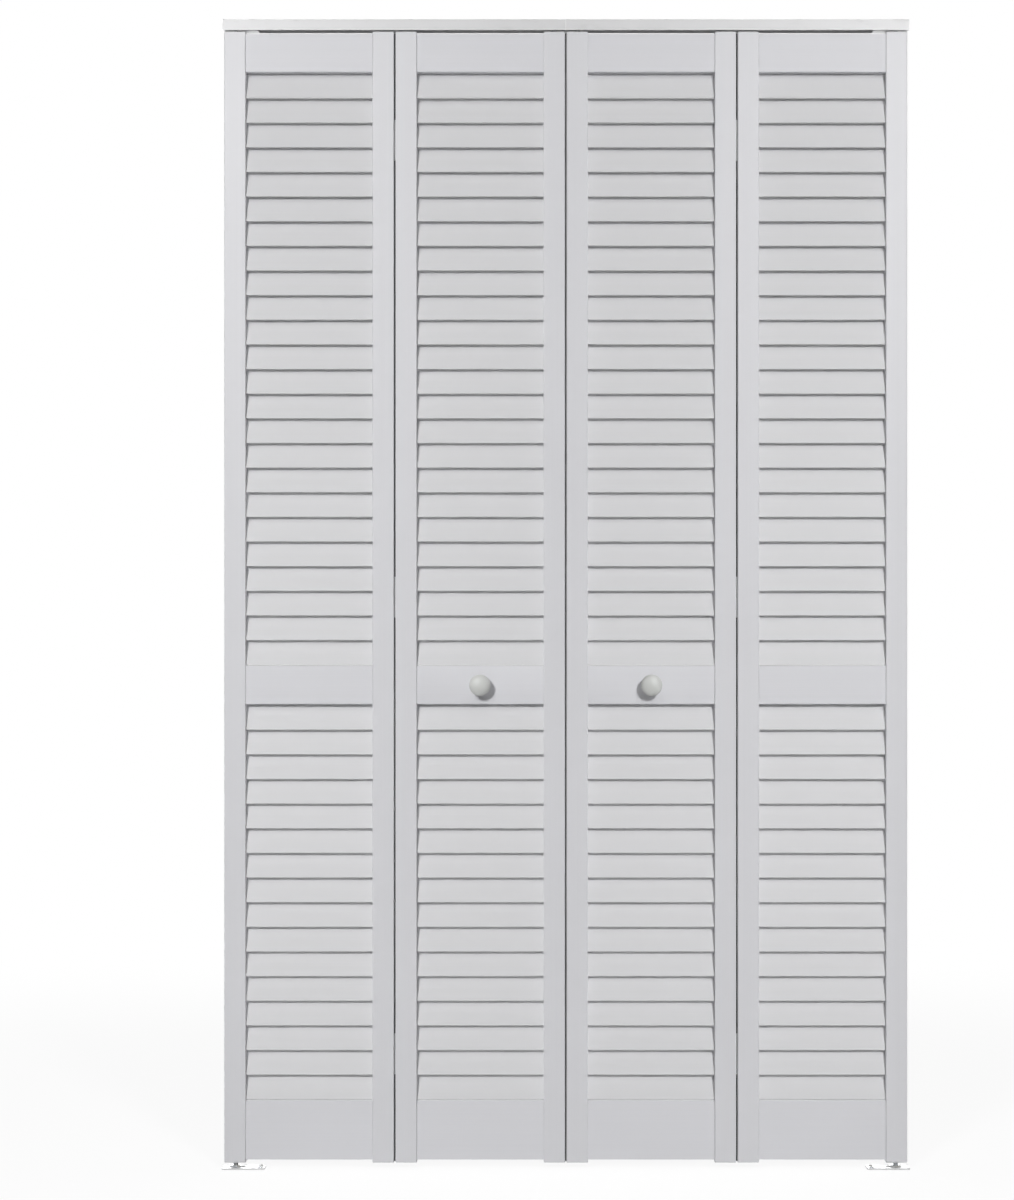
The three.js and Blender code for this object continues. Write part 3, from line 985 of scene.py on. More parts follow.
@dataclass(frozen=True)
class Wardrobe:
    """All finishes of the door, each made once.

    Attributes:
        stile: vinyl with its lines upright
        rail: vinyl with its lines along X
        slat: duller vinyl with its lines along X
        cap: plastic of the stiles' end caps
        knob: plastic of the knobs
        white_steel: coated steel of the track, brackets and hinges
        zinc: plated steel of the pins, springs, stems and bare screws
        nylon: nylon of the guide wheels
    """

    stile: bpy.types.Material = field(
        default_factory=lambda: Vinyl(
            "satin_vinyl_upright", (0.752, 0.752, 0.778), Grain.UPRIGHT
        ).material()
    )
    rail: bpy.types.Material = field(
        default_factory=lambda: Vinyl(
            "satin_vinyl_cross", (0.782, 0.782, 0.812), Grain.CROSS, gloss=0.25
        ).material()
    )
    slat: bpy.types.Material = field(
        default_factory=lambda: Vinyl(
            "satin_vinyl_slat", (0.743, 0.743, 0.755), Grain.CROSS, roughness=0.45, gloss=0.15
        ).material()
    )
    cap: bpy.types.Material = field(
        default_factory=lambda: Moulded(
            "stile_cap_plastic", (0.700, 0.700, 0.715), roughness=0.48
        ).material()
    )
    knob: bpy.types.Material = field(
        default_factory=lambda: Moulded(
            "warm_white_knob_plastic", (0.665, 0.675, 0.655), roughness=0.42
        ).material()
    )
    white_steel: bpy.types.Material = field(
        default_factory=lambda: PowderCoat("white_powder_coat", (0.760, 0.760, 0.765)).material()
    )
    zinc: bpy.types.Material = field(
        default_factory=lambda: ZincPlate(
            "zinc_plate", (0.62, 0.64, 0.67), (0.52, 0.50, 0.44)
        ).material()
    )
    nylon: bpy.types.Material = field(
        default_factory=lambda: Moulded(
            "off_white_nylon", (0.735, 0.720, 0.660), roughness=0.42, flow_tone=0.07
        ).material()
    )


# Leaves


@dataclass
class StilePattern:
    """The upright bar that all stiles are copied from, and its end caps.

    Attributes:
        edge_radius: rounding of the long edges
        edge_steps: faces across that rounding
        cap_thickness: thickness of an end cap
        cap_inset: how far a cap's sides stand in from the bar's
        cap_rounding: rounding of a cap's edges, as a share of its thickness
    """

    edge_radius: float = 0.002
    edge_steps: int = 4
    cap_thickness: float = 0.0015
    cap_inset: float = 0.0002
    cap_rounding: float = 0.25

    def bar(self, node: str) -> Piece:
        """Build the bar in the place of one stile, shorter by a cap at each end.

        Args:
            node: the stile's node

        Returns:
            The bar.
        """
        span = Span.of(node)
        cap = Vector((0.0, 0.0, self.cap_thickness))
        bar = Bench.bar(f"{node}_extrusion", span.low + cap, span.high - cap)
        return Bench.round_edges(
            bar, self.edge_radius, self.edge_steps, lambda edge: Bench.runs_along(edge, 2)
        )

    def cap(self, node: str) -> Piece:
        """Build the cap at the top end of one stile.

        Args:
            node: the stile's node

        Returns:
            The cap, without a hole.
        """
        span = Span.of(node)
        inset = Vector((self.cap_inset, self.cap_inset, 0.0))
        low = Vector((span.low.x, span.low.y, span.high.z - self.cap_thickness)) + inset
        cap = Bench.bar(f"{node}_top_cap", low, span.high - inset)
        Bench.round_edges(
            cap, self.edge_radius, self.edge_steps, lambda edge: Bench.runs_along(edge, 2)
        )
        return Bench.soften(cap, self.cap_thickness * self.cap_rounding)


@dataclass
class LouvrePattern:
    """The slat that all louvre banks are made of.

    Attributes:
        chord: width of a slat
        thickness: thickness of a slat
        tilt: lean from upright, with the lower edge towards the room
        pitch: rise from slat to slat
        end_play: gap between a slat's end and the stile's face
        edge_radius: rounding of the slat's long edges
        edge_steps: faces across that rounding
    """

    chord: float = 0.0470
    thickness: float = 0.005
    tilt: float = math.radians(15.0)
    pitch: float = 0.04355
    end_play: float = 0.0001
    edge_radius: float = 0.0009
    edge_steps: int = 3

    def bank(self, node: str, count: int, half_length: float) -> Piece:
        """Build a bank in the place of one node, its slats cut level at their lower edges.

        Args:
            node: the bank's node
            count: number of slats
            half_length: half of the clear width between the stiles

        Returns:
            The slats, as one piece.
        """
        middle = Span.of(node).middle
        reach = Vector((half_length - self.end_play, self.thickness / 2, self.chord / 2))
        slats = Bench.bar(f"{node}_slats", -reach, reach)
        with Bench.shaping(slats):
            Bench.select_edges(
                slats,
                lambda edge: Bench.runs_along(edge, 0)
                and edge.verts[0].co.y > 0 > edge.verts[0].co.z,
            )
            level = self.thickness * math.tan(self.tilt)
            bpy.ops.transform.translate(value=(0.0, 0.0, level))
        Bench.round_edges(
            slats, self.edge_radius, self.edge_steps, lambda edge: Bench.runs_along(edge, 0)
        )
        slats.rotation_euler = (-self.tilt, 0.0, 0.0)
        slats.location = middle - Vector((0.0, 0.0, self.pitch * (count - 1) / 2))
        Bench.settle(slats)
        Bench.finish(slats)
        rows = slats.modifiers.new("rows", "ARRAY")
        rows.count = count
        rows.use_relative_offset = False
        rows.use_constant_offset = True
        rows.constant_offset_displace = (0.0, 0.0, self.pitch)
        Bench.apply(slats, rows)
        return slats


@dataclass
class Leaves:
    """The four louvred leaves: stiles with their caps, rails and louvre banks.

    Attributes:
        finishes: the door's materials
        stile: pattern of the stiles
        louvre: pattern of the slats
        upper_count: slats above the middle rail
        lower_count: slats below it
        rail_edge_radius: rounding of the rails' long edges
        rail_edge_steps: faces across that rounding
        rail_play: gap between a rail's end and the stile's face
        pin_bore: radius of the bores for the pins
        pin_neck_bore: radius of the hole for the top pin's neck
        top_pin_depth: depth of the top pin's bore
        foot_pin_depth: depth of the foot pin's bore
        guide_depth: depth of the guide stem's bore
        knob_bore: radius of the bore for the knob's screw
        knob_bore_reach: how far that bore's drill reaches to either side
        knob_bore_sides: faces round that bore
        patterns: first piece of each kind, and the middle of the node that it was built for
    """

    finishes: Wardrobe
    stile: StilePattern = field(default_factory=StilePattern)
    louvre: LouvrePattern = field(default_factory=LouvrePattern)
    upper_count: int = 24
    lower_count: int = 16
    rail_edge_radius: float = 0.0008
    rail_edge_steps: int = 3
    rail_play: float = 0.00012
    pin_bore: float = 0.00505
    pin_neck_bore: float = 0.0042
    top_pin_depth: float = 0.0642
    foot_pin_depth: float = 0.0443
    guide_depth: float = 0.0363
    knob_bore: float = 0.0023
    knob_bore_reach: float = 0.02
    knob_bore_sides: int = 16
    patterns: Dict[str, Tuple[Piece, Vector]] = field(default_factory=dict)

    def place(self, kind: str, node: str, name: str, make: Callable[[], Piece]) -> Piece:
        """Build the first piece of a kind, and copy the others from it.

        A copy also has the bores that the first piece was given in the meantime.

        Args:
            kind: what the piece is
            node: node whose place the piece takes
            name: name of the piece
            make: builds the first one in its place

        Returns:
            The piece, in its place.
        """
        middle = Span.of(node).middle
        if kind not in self.patterns:
            self.patterns[kind] = (make(), middle)
            return self.patterns[kind][0]
        pattern, first_middle = self.patterns[kind]
        return Bench.copied(pattern, name, middle - first_middle)

    def build_stile(self, side: Side, leaf: str, label: str) -> None:
        """Build one stile and its two caps."""
        node = f"{side.value}_{leaf}_leaf_{label}_stile"
        body = f"{side.value}_{leaf}_leaf"
        span = Span.of(node)
        top = Vector((span.middle.x, 0.0, span.high.z))
        foot = Vector((span.middle.x, 0.0, span.low.z))
        bar = self.place(
            "stile", node, f"{node}_extrusion", lambda: Bench.finish(self.stile.bar(node))
        )
        cap = self.place("cap", node, f"{node}_top_cap", lambda: Bench.finish(self.stile.cap(node)))
        drop = foot - top + Vector((0.0, 0.0, self.stile.cap_thickness))
        foot_cap = Bench.copied(cap, f"{node}_foot_cap", drop)
        self.bore_stile(label, (bar, cap, foot_cap), top, foot)
        hand_over(bar, body, "vinyl", self.finishes.stile, node)
        hand_over(cap, body, "vinyl", self.finishes.cap)
        hand_over(foot_cap, body, "vinyl", self.finishes.cap)

    def bore_stile(
        self, label: str, pieces: Tuple[Piece, Piece, Piece], top: Vector, foot: Vector
    ) -> None:
        """Drill the bores for the pins that stand in a stile's ends.

        Args:
            label: which stile of its leaf it is
            pieces: the bar, its top cap and its foot cap
            top: middle of the stile's top end
            foot: middle of its foot
        """
        bar, cap, foot_cap = pieces
        over = self.stile.cap_thickness * 2
        if label == "jamb":
            Bench.drill(bar, top, self.pin_bore, (-self.top_pin_depth, over))
            Bench.drill(cap, top, self.pin_neck_bore, (-over, over))
            Bench.drill(bar, foot, self.pin_bore, (-over, self.foot_pin_depth))
            Bench.drill(foot_cap, foot, self.pin_bore, (-over, over))
        if label == "meeting":
            Bench.drill(bar, top, self.pin_bore, (-self.guide_depth, over))
            Bench.drill(cap, top, self.pin_bore, (-over, over))

    def rail_bar(self, node: str, half_length: float) -> Piece:
        """Build one rail between its stiles."""
        span = Span.of(node)
        reach = half_length - self.rail_play
        low = Vector((span.middle.x - reach, span.low.y, span.low.z))
        high = Vector((span.middle.x + reach, span.high.y, span.high.z))
        rail = Bench.bar(f"{node}_board", low, high)
        Bench.round_edges(
            rail,
            self.rail_edge_radius,
            self.rail_edge_steps,
            lambda edge: Bench.runs_along(edge, 0),
        )
        return Bench.finish(rail)

    def build_leaf(self, side: Side, leaf: str, stiles: Sequence[str]) -> None:
        """Build one leaf.

        Args:
            side: the pair that it belongs to
            leaf: pivot or lead
            stiles: labels of its two stiles
        """
        body = f"{side.value}_{leaf}_leaf"
        for label in stiles:
            self.build_stile(side, leaf, label)
        spans = [Span.of(f"{body}_{label}_stile") for label in stiles]
        spans.sort(key=lambda span: span.low.x)
        half = (spans[1].low.x - spans[0].high.x) / 2
        for label in ("top", "middle", "bottom"):
            node = f"{body}_{label}_rail"
            rail = self.place(
                f"{label}_rail", node, f"{node}_board", lambda: self.rail_bar(node, half)
            )
            if label == "middle" and leaf == "lead":
                middle = Span.of(node).middle
                Bench.drill(
                    rail,
                    (middle.x, 0.0, middle.z),
                    self.knob_bore,
                    (-self.knob_bore_reach, self.knob_bore_reach),
                    Way.TO_ROOM,
                    self.knob_bore_sides,
                )
            hand_over(rail, body, "vinyl", self.finishes.rail, node)
        for label, count in (("upper", self.upper_count), ("lower", self.lower_count)):
            node = f"{body}_{label}_louvres"
            bank = self.place(
                label, node, f"{node}_slats", lambda: self.louvre.bank(node, count, half)
            )
            hand_over(bank, body, "louvre", self.finishes.slat, node)

    def build(self) -> None:
        """Build all four leaves."""
        for side in Side:
            self.build_leaf(side, "pivot", ("jamb", "hinge"))
        for side in Side:
            self.build_leaf(side, "lead", ("hinge", "meeting"))


# Fasteners


@dataclass
class CrossScrew:
    """A raised-head screw with a cross recess.

    Attributes:
        head_radius: radius of the head
        head_height: height of its dome
        shank_radius: radius of the shank
        shank_length: length of the shank below the head
        recess_reach: reach of each arm of the recess
        recess_width: width of an arm
        recess_depth: depth of the recess
        sides: faces round the screw
        dome_steps: steps from the head's rim to its crown, of which the last is flat
        smooth_angle: largest angle that is shaded smooth, in degrees
    """

    head_radius: float = 0.0034
    head_height: float = 0.0011
    shank_radius: float = 0.0018
    shank_length: float = 0.001
    recess_reach: float = 0.0019
    recess_width: float = 0.0007
    recess_depth: float = 0.0008
    sides: int = 24
    dome_steps: int = 6
    smooth_angle: float = 30.0

    def build(self, name: str, place: Sequence[float], way: Way) -> Piece:
        """Build the screw with its head's underside at a place.

        Args:
            name: name of the screw
            place: where the underside of its head goes
            way: direction that its head looks

        Returns:
            The screw.
        """
        turn = 90.0 / self.dome_steps
        dome = [
            (self.head_height * math.sin(angle), self.head_radius * math.cos(angle))
            for angle in (math.radians(turn * step) for step in range(1, self.dome_steps))
        ]
        rings = [
            (-self.shank_length, self.shank_radius),
            (0.0, self.shank_radius),
            (0.0, self.head_radius),
            *dome,
        ]
        screw = Bench.turned(name, rings, self.sides)
        bottom = self.head_height - self.recess_depth
        over = self.head_height * 2
        arm = (self.recess_reach, self.recess_width / 2)
        for reach in (arm, arm[::-1]):
            low = (-reach[0], -reach[1], bottom)
            Bench.cut(screw, Bench.bar("recess", low, (*reach, over)))
        Bench.finish(screw, self.smooth_angle)
        screw.rotation_euler = way.value
        screw.location = place
        return Bench.settle(screw)

    def row(self, name: str, places: Sequence[Sequence[float]], way: Way) -> Piece:
        """Build several screws as one piece.

        Args:
            name: name of the piece
            places: where the undersides of their heads go
            way: direction that their heads look

        Returns:
            The screws.
        """
        first = self.build(name, places[0], way)
        others = [
            Bench.copied(first, f"{name}_{number}", Vector(place) - Vector(places[0]))
            for number, place in enumerate(places[1:], 2)
        ]
        return Bench.joined(name, [first, *others])


# Hinges


@dataclass
class Hinges:
    """Six butt hinges on the closet faces, each of two pressed plates, a pin and six screws.

    Attributes:
        finishes: the door's materials
        thickness: thickness of the sheet
        knuckle_radius: radius over a knuckle
        pin_radius: radius of the pin
        corner_radius: radius of a plate's outer corners
        corner_steps: faces across that radius
        edge_radius: rounding of all pressed edges
        play: gap between a plate and the other's knuckles
        lip_thickness: thickness of the lip that a plate turns round its stile's edge
        lip_depth: how far that lip stops short of the room face
        roll: how far a knuckle is rolled round the pin
        roll_steps: faces along the roll
        pin_sides: faces round the pin
        pin_end: place from the pin's end and share of its radius, of each ring at an end
        screw_places: reach from the pin's axis and height from the middle of each screw
        screw: pattern of the screws
    """

    finishes: Wardrobe
    thickness: float = 0.0016
    knuckle_radius: float = 0.003
    pin_radius: float = 0.0014
    corner_radius: float = 0.003
    corner_steps: int = 4
    edge_radius: float = 0.00025
    play: float = 0.0003
    lip_thickness: float = 0.0008
    lip_depth: float = 0.0040
    roll: float = math.radians(285.0)
    roll_steps: int = 14
    pin_sides: int = 20
    pin_end: Sequence[Ring] = ((0.0001, 0.5), (0.0003, 0.85), (0.0007, 1.0))
    screw_places: Sequence[Tuple[float, float]] = (
        (0.0125, -0.0270),
        (0.0205, 0.0),
        (0.0125, 0.0270),
    )
    screw: CrossScrew = field(default_factory=CrossScrew)

    def plate(
        self, node: str, name: str, stile: Span, away: float, axis: Vector, outer: bool
    ) -> Piece:
        """Build one plate and roll its knuckles.

        Args:
            node: the plate's node
            name: name of the piece
            stile: box of the stile that it is on
            away: direction from the pin to the plate along X
            axis: middle of the pin
            outer: whether it has the two outer knuckles, or else the middle one

        Returns:
            The plate.
        """
        span = Span.of(node)
        near = away * (self.knuckle_radius + self.play)
        far = away * max(abs(span.low.x - axis.x), abs(span.high.x - axis.x))
        half = (span.high.z - span.low.z) / 2
        back = -self.knuckle_radius
        low = (min(near, far), back, -half)
        high = (max(near, far), back + self.thickness, half)
        plate = Bench.bar(name, low, high)
        past_knuckles = abs(near) * 2
        Bench.round_edges(
            plate,
            self.corner_radius,
            self.corner_steps,
            lambda edge: Bench.runs_along(edge, 1)
            and away * edge.verts[0].co.x > past_knuckles,
        )
        third = 2 * half / 3
        gap = self.play / 2 if outer else -self.play / 2
        cuts = (-third / 2 - gap, third / 2 + gap)
        with Bench.shaping(plate, "FACE"):
            for height in cuts:
                bpy.ops.mesh.select_all(action="SELECT")
                bpy.ops.mesh.bisect(plane_co=(0.0, 0.0, height), plane_no=(0.0, 0.0, 1.0))

            def rolled(face: Any) -> bool:
                """Tell whether a face looks to the pin where this plate has a knuckle."""
                inside = cuts[0] < face.calc_center_median().z < cuts[1]
                return away * face.normal.x < -FACING_SHARE and inside != outer

            Bench.select_faces(plate, rolled)
            bpy.ops.mesh.extrude_region_move(TRANSFORM_OT_translate={"value": (-near, 0.0, 0.0)})
            bpy.ops.mesh.spin(
                steps=self.roll_steps,
                angle=-away * self.roll,
                center=(0.0, 0.0, 0.0),
                axis=(0.0, 0.0, -1.0),
            )
            bpy.ops.mesh.select_all(action="SELECT")
            bpy.ops.mesh.normals_make_consistent(inside=False)
        plate = Bench.joined(name, [plate, self.lip(f"{name}_lip", stile, away, axis, half)])
        Bench.soften(plate, self.edge_radius)
        Bench.finish(plate)
        plate.location = axis
        return Bench.settle(plate)

    def lip(self, name: str, stile: Span, away: float, axis: Vector, half: float) -> Piece:
        """Build the lip of one plate, which shows in the gap between the stiles.

        Args:
            name: name of the piece
            stile: box of the stile that the plate is on
            away: direction from the pin to the plate along X
            axis: middle of the pin
            half: half of the plate's height

        Returns:
            The lip, placed from the pin's middle.
        """
        edge = (stile.high.x if away < 0 else stile.low.x) - axis.x
        inner = edge - away * self.lip_thickness
        front = stile.low.y + self.lip_depth - axis.y
        back = -self.knuckle_radius - self.play
        return Bench.bar(
            name, (min(edge, inner), front, -half), (max(edge, inner), back, half)
        )

    def build(self) -> None:
        """Build the hinges of both pairs."""
        for side in Side:
            for label in ("top", "middle", "bottom"):
                self.build_hinge(side, label)

    def build_hinge(self, side: Side, label: str) -> None:
        """Build one hinge."""
        stem = f"{side.value}_{label}_hinge"
        pinned, turning = f"{stem}_pinned_plate", f"{stem}_turning_plate"
        span = Span.of(pinned)
        axis_x = span.high.x - self.knuckle_radius
        if side is Side.RIGHT:
            axis_x = span.low.x + self.knuckle_radius
        axis = Vector((axis_x, span.middle.y, span.middle.z))
        pin = self.pin(f"{stem}_pin", axis, (span.high.z - span.low.z) / 2)
        hand_over(pin, f"{side.value}_pivot_leaf", "zinc", self.finishes.zinc)
        for node, away, leaf, outer in (
            (pinned, side.sign, "pivot", True),
            (turning, -side.sign, "lead", False),
        ):
            body = f"{side.value}_{leaf}_leaf"
            stile = Span.of(f"{body}_hinge_stile")
            plate = self.plate(node, f"{node}_pressing", stile, away, axis, outer)
            hand_over(plate, body, "white_steel", self.finishes.white_steel, node)
            top = self.thickness - self.knuckle_radius
            places = [
                axis + Vector((away * reach, top, height)) for reach, height in self.screw_places
            ]
            screws = self.screw.row(f"{node}_screws", places, Way.TO_CLOSET)
            hand_over(screws, body, "white_steel", self.finishes.white_steel)

    def pin(self, name: str, axis: Vector, half: float) -> Piece:
        """Build a pin with rounded ends, a hair shorter than its knuckles."""
        end = [(half - inset, self.pin_radius * share) for inset, share in self.pin_end]
        rings = [*((-reach, radius) for reach, radius in end), *reversed(end)]
        return Bench.finish(Bench.turned(name, rings, self.pin_sides, axis))


# Knobs


@dataclass
class PullKnobs:
    """Round pull knobs on the lead leaves' middle rails, each with a machine screw from behind.

    Attributes:
        finishes: the door's materials
        radius: radius at the rim
        foot_radius: radius of the foot
        foot_height: height of the foot
        foot_bevel: bevel of the foot's edges
        neck_radius: radius where the neck is slimmest
        neck_height: height of that place
        neck_steps: faces from the foot to it
        rim_height: height at which the cap is widest
        rim_drop: height of the straight part below it
        flare_steps: faces from the neck to the rim
        projection: height of the whole knob
        crown_turn: how far the crown is rounded towards its middle, in degrees
        crown_steps: faces along the crown
        sides: faces round the knob
        smooth_angle: largest angle that is shaded smooth, in degrees
        screw_head: height and share of the radius, of each ring of the screw's head
        shank_radius: radius of the screw's shank
        shank_tip: length and radius of its bevelled tip
        screw_sides: faces round the screw
        recess_radius: radius of the recess over its corners
        recess_depth: depth of the recess
        recess_sides: sides of the recess
    """

    finishes: Wardrobe
    radius: float = 0.0188
    foot_radius: float = 0.0095
    foot_height: float = 0.0024
    foot_bevel: float = 0.0004
    neck_radius: float = 0.007
    neck_height: float = 0.0085
    neck_steps: int = 6
    rim_height: float = 0.0186
    rim_drop: float = 0.0006
    flare_steps: int = 8
    projection: float = 0.0286
    crown_turn: float = 88.0
    crown_steps: int = 14
    sides: int = 64
    smooth_angle: float = 50.0
    screw_head: Sequence[Ring] = (
        (0.0, 0.62),
        (0.0003, 0.80),
        (0.0010, 0.96),
        (0.0015, 1.0),
        (0.0024, 1.0),
    )
    shank_radius: float = 0.0020
    shank_tip: Ring = (0.0004, 0.0015)
    screw_sides: int = 32
    recess_radius: float = 0.0020
    recess_depth: float = 0.0011
    recess_sides: int = 6

    @staticmethod
    def curve(start: Ring, pull: Ring, end: Ring, steps: int) -> List[Ring]:
        """Give the rings along a curve, without its first one.

        Args:
            start: ring that the curve leaves
            pull: ring that it leans towards
            end: ring that it ends at
            steps: number of rings

        Returns:
            The rings, the end's among them.
        """
        rings = []
        for step in range(1, steps + 1):
            t = step / steps
            weights = ((1 - t) ** 2, 2 * t * (1 - t), t * t)
            rings.append(
                tuple(sum(w * p[i] for w, p in zip(weights, (start, pull, end))) for i in (0, 1))
            )
        return rings

    def profile(self) -> List[Ring]:
        """Give the knob's rings from its foot to its crown."""
        bevel = self.foot_bevel
        foot = [
            (0.0, self.foot_radius - bevel),
            (bevel, self.foot_radius),
            (self.foot_height - bevel, self.foot_radius),
            (self.foot_height, self.foot_radius - bevel),
        ]
        slim = (self.neck_height, self.neck_radius)
        rim = (self.rim_height - self.rim_drop, self.radius)
        neck_pull = (self.foot_height, self.neck_radius)
        neck = self.curve(foot[-1], neck_pull, slim, self.neck_steps)
        flare = self.curve(slim, (rim[0], self.neck_radius), rim, self.flare_steps)
        crown = self.projection - self.rim_height
        turns = [
            math.radians(self.crown_turn * step / self.crown_steps)
            for step in range(self.crown_steps + 1)
        ]
        cap = [
            (self.rim_height + crown * math.sin(turn), self.radius * math.cos(turn))
            for turn in turns
        ]
        return [*foot, *neck, *flare, *cap]

    def build(self) -> None:
        """Build the knob and screw of one side, and copy them for the other."""
        first = None
        for side in Side:
            node = f"{side.value}_knob"
            knob_name = f"{side.value}_pull_knob"
            screw_name = f"{side.value}_knob_machine_screw"
            span = Span.of(node)
            place = Vector((span.middle.x, span.high.y, span.middle.z))
            if first is None:
                knob = Bench.turned(knob_name, self.profile(), self.sides, place, Way.TO_ROOM)
                Bench.finish(knob, self.smooth_angle)
                screw = self.screw(f"{node}_screw", screw_name)
                first = (knob, screw, place)
            else:
                first_knob, first_screw, first_place = first
                knob = Bench.copied(first_knob, knob_name, place - first_place)
                screw = Bench.copied(first_screw, screw_name, place - first_place)
            body = f"{side.value}_lead_leaf"
            hand_over(knob, body, "knob", self.finishes.knob, node)
            hand_over(screw, body, "zinc", self.finishes.zinc, f"{node}_screw")

    def screw(self, node: str, name: str) -> Piece:
        """Build a machine screw in the place of its node, with a recess in its head.

        Args:
            node: the screw's node
            name: name of the piece

        Returns:
            The screw.
        """
        span = Span.of(node)
        head = Vector((span.middle.x, span.high.y, span.middle.z))
        radius = (span.high.x - span.low.x) / 2
        depth = span.high.y - span.low.y
        tip_length, tip_radius = self.shank_tip
        rings = [
            *((height, radius * share) for height, share in self.screw_head),
            (self.screw_head[-1][0], self.shank_radius),
            (depth - tip_length, self.shank_radius),
            (depth, tip_radius),
        ]
        screw = Bench.turned(name, rings, self.screw_sides, head, Way.TO_ROOM)
        recess = (-CUT_OVERRUN, self.recess_depth)
        Bench.drill(screw, head, self.recess_radius, recess, Way.TO_ROOM, self.recess_sides)
        return Bench.finish(screw)


# Head track, brackets and floor plates


@dataclass
class HeadTracks:
    """Two lengths of folded steel channel, screwed up to the head of the opening.

    Attributes:
        finishes: the door's materials
        wall: thickness of the sheet
        hem: height of the hems inside the walls' feet
        hem_slit: slit between a wall and its hem
        bend_radius: rounding of the bends
        screw_shares: place of each screw along a length, from its middle
        hole_radius: radius of a screw hole
        hole_reach: how far the hole's drill reaches to either side
        hole_sides: faces round a hole
        screw: pattern of the screws
    """

    finishes: Wardrobe
    wall: float = 0.0012
    hem: float = 0.0024
    hem_slit: float = 0.0001
    bend_radius: float = 0.0004
    screw_shares: Sequence[float] = (-0.42, -0.14, 0.14, 0.42)
    hole_radius: float = 0.0024
    hole_reach: float = 0.003
    hole_sides: int = 20
    screw: CrossScrew = field(
        default_factory=lambda: CrossScrew(
            head_radius=0.0042,
            head_height=0.0022,
            shank_radius=0.0020,
            shank_length=0.0011,
            recess_reach=0.0023,
            recess_width=0.0009,
            recess_depth=0.0014,
        )
    )

    def channel(self, node: str) -> Piece:
        """Fold one length from a flat strip.

        Args:
            node: the length's node

        Returns:
            The channel.
        """
        span = Span.of(node)
        half = self.wall / 2
        wide = span.high.y - half
        length = span.high.x - span.low.x
        bpy.ops.object.select_all(action="DESELECT")
        bpy.ops.mesh.primitive_plane_add(
            size=1.0, location=(span.middle.x, 0.0, span.high.z - half)
        )
        channel = Bench.named(f"{node}_channel")
        channel.scale = (length, 2 * wide, 1.0)
        Bench.settle(channel)
        drop = -(span.high.z - span.low.z) + self.wall
        for edge_side in (-1.0, 1.0):
            with Bench.shaping(channel):
                Bench.select_edges(
                    channel,
                    lambda edge: Bench.runs_along(edge, 0)
                    and edge_side * edge.verts[0].co.y > wide / 2,
                )
                inward = -edge_side * (self.wall + self.hem_slit)
                for step in (
                    (0.0, 0.0, drop),
                    (0.0, inward, 0.0),
                    (0.0, 0.0, self.hem - half),
                ):
                    bpy.ops.mesh.extrude_region_move(TRANSFORM_OT_translate={"value": step})
        with Bench.shaping(channel, "FACE"):
            bpy.ops.mesh.select_all(action="SELECT")
            bpy.ops.mesh.normals_make_consistent(inside=False)
        sheet = channel.modifiers.new("sheet", "SOLIDIFY")
        sheet.thickness = self.wall
        sheet.offset = 0.0
        sheet.use_even_offset = True
        Bench.apply(channel, sheet)
        Bench.soften(channel, self.bend_radius)
        reach = (-self.hole_reach, self.hole_reach)
        for x in self.screw_lines(span):
            place = (x, 0.0, span.high.z)
            Bench.drill(channel, place, self.hole_radius, reach, Way.UP, self.hole_sides)
        return Bench.finish(channel)

    def screw_lines(self, span: Span) -> List[float]:
        """Give the places of a length's screws along X."""
        length = span.high.x - span.low.x
        sign = 1.0 if span.middle.x > 0 else -1.0
        return [span.middle.x + sign * share * length for share in self.screw_shares]

    def build(self) -> None:
        """Build both lengths and their screws."""
        for side in Side:
            node = f"{side.value}_head_track"
            span = Span.of(node)
            channel = self.channel(node)
            hand_over(channel, "root", "white_steel", self.finishes.white_steel, node)
            places = [(x, 0.0, span.high.z - self.wall) for x in self.screw_lines(span)]
            screws = self.screw.row(f"{side.value}_track_screws", places, Way.DOWN)
            hand_over(screws, "root", "zinc", self.finishes.zinc)


@dataclass
class Brackets:
    """Top brackets clamped in the track's ends, and plates screwed to the floor.

    Attributes:
        finishes: the door's materials
        edge_radius: rounding of the pressed edges
        sharp_angle: smallest angle of an edge that is rounded, in degrees
        floor_screw_place: place of the floor screws, from the plate's inner end and from its middle
        floor_screw: pattern of the floor screws
    """

    finishes: Wardrobe
    edge_radius: float = 0.0004
    sharp_angle: float = 35.0
    floor_screw_place: Tuple[float, float] = (0.008, 0.007)
    floor_screw: CrossScrew = field(
        default_factory=lambda: CrossScrew(
            head_radius=0.0040,
            head_height=0.0018,
            shank_radius=0.0020,
            shank_length=0.0022,
            recess_reach=0.0022,
            recess_width=0.0009,
            recess_depth=0.0012,
        )
    )

    def build(self) -> None:
        """Build the brackets of both sides."""
        for kind in ("top_bracket", "floor_bracket"):
            first = None
            for side in Side:
                node = f"{side.value}_{kind}"
                if first is None:
                    piece = Bench.traced(node, f"{node}_pressing")
                    Bench.soften(piece, self.edge_radius, sharp=self.sharp_angle)
                    first = Bench.finish(piece)
                else:
                    piece = Bench.copied(first, f"{node}_pressing", turn=(0.0, 0.0, math.pi))
                hand_over(piece, "root", "white_steel", self.finishes.white_steel, node)
        for side in Side:
            self.build_floor_screws(side)

    def build_floor_screws(self, side: Side) -> None:
        """Build the two screws of one floor plate."""
        span = Span.of(f"{side.value}_floor_bracket")
        inset, reach = self.floor_screw_place
        inner = span.high.x - inset if side is Side.LEFT else span.low.x + inset
        places = [(inner, row * reach, span.high.z) for row in (-1.0, 1.0)]
        screws = self.floor_screw.row(f"{side.value}_floor_screws", places, Way.UP)
        hand_over(screws, "root", "zinc", self.finishes.zinc)


# Pins and guides


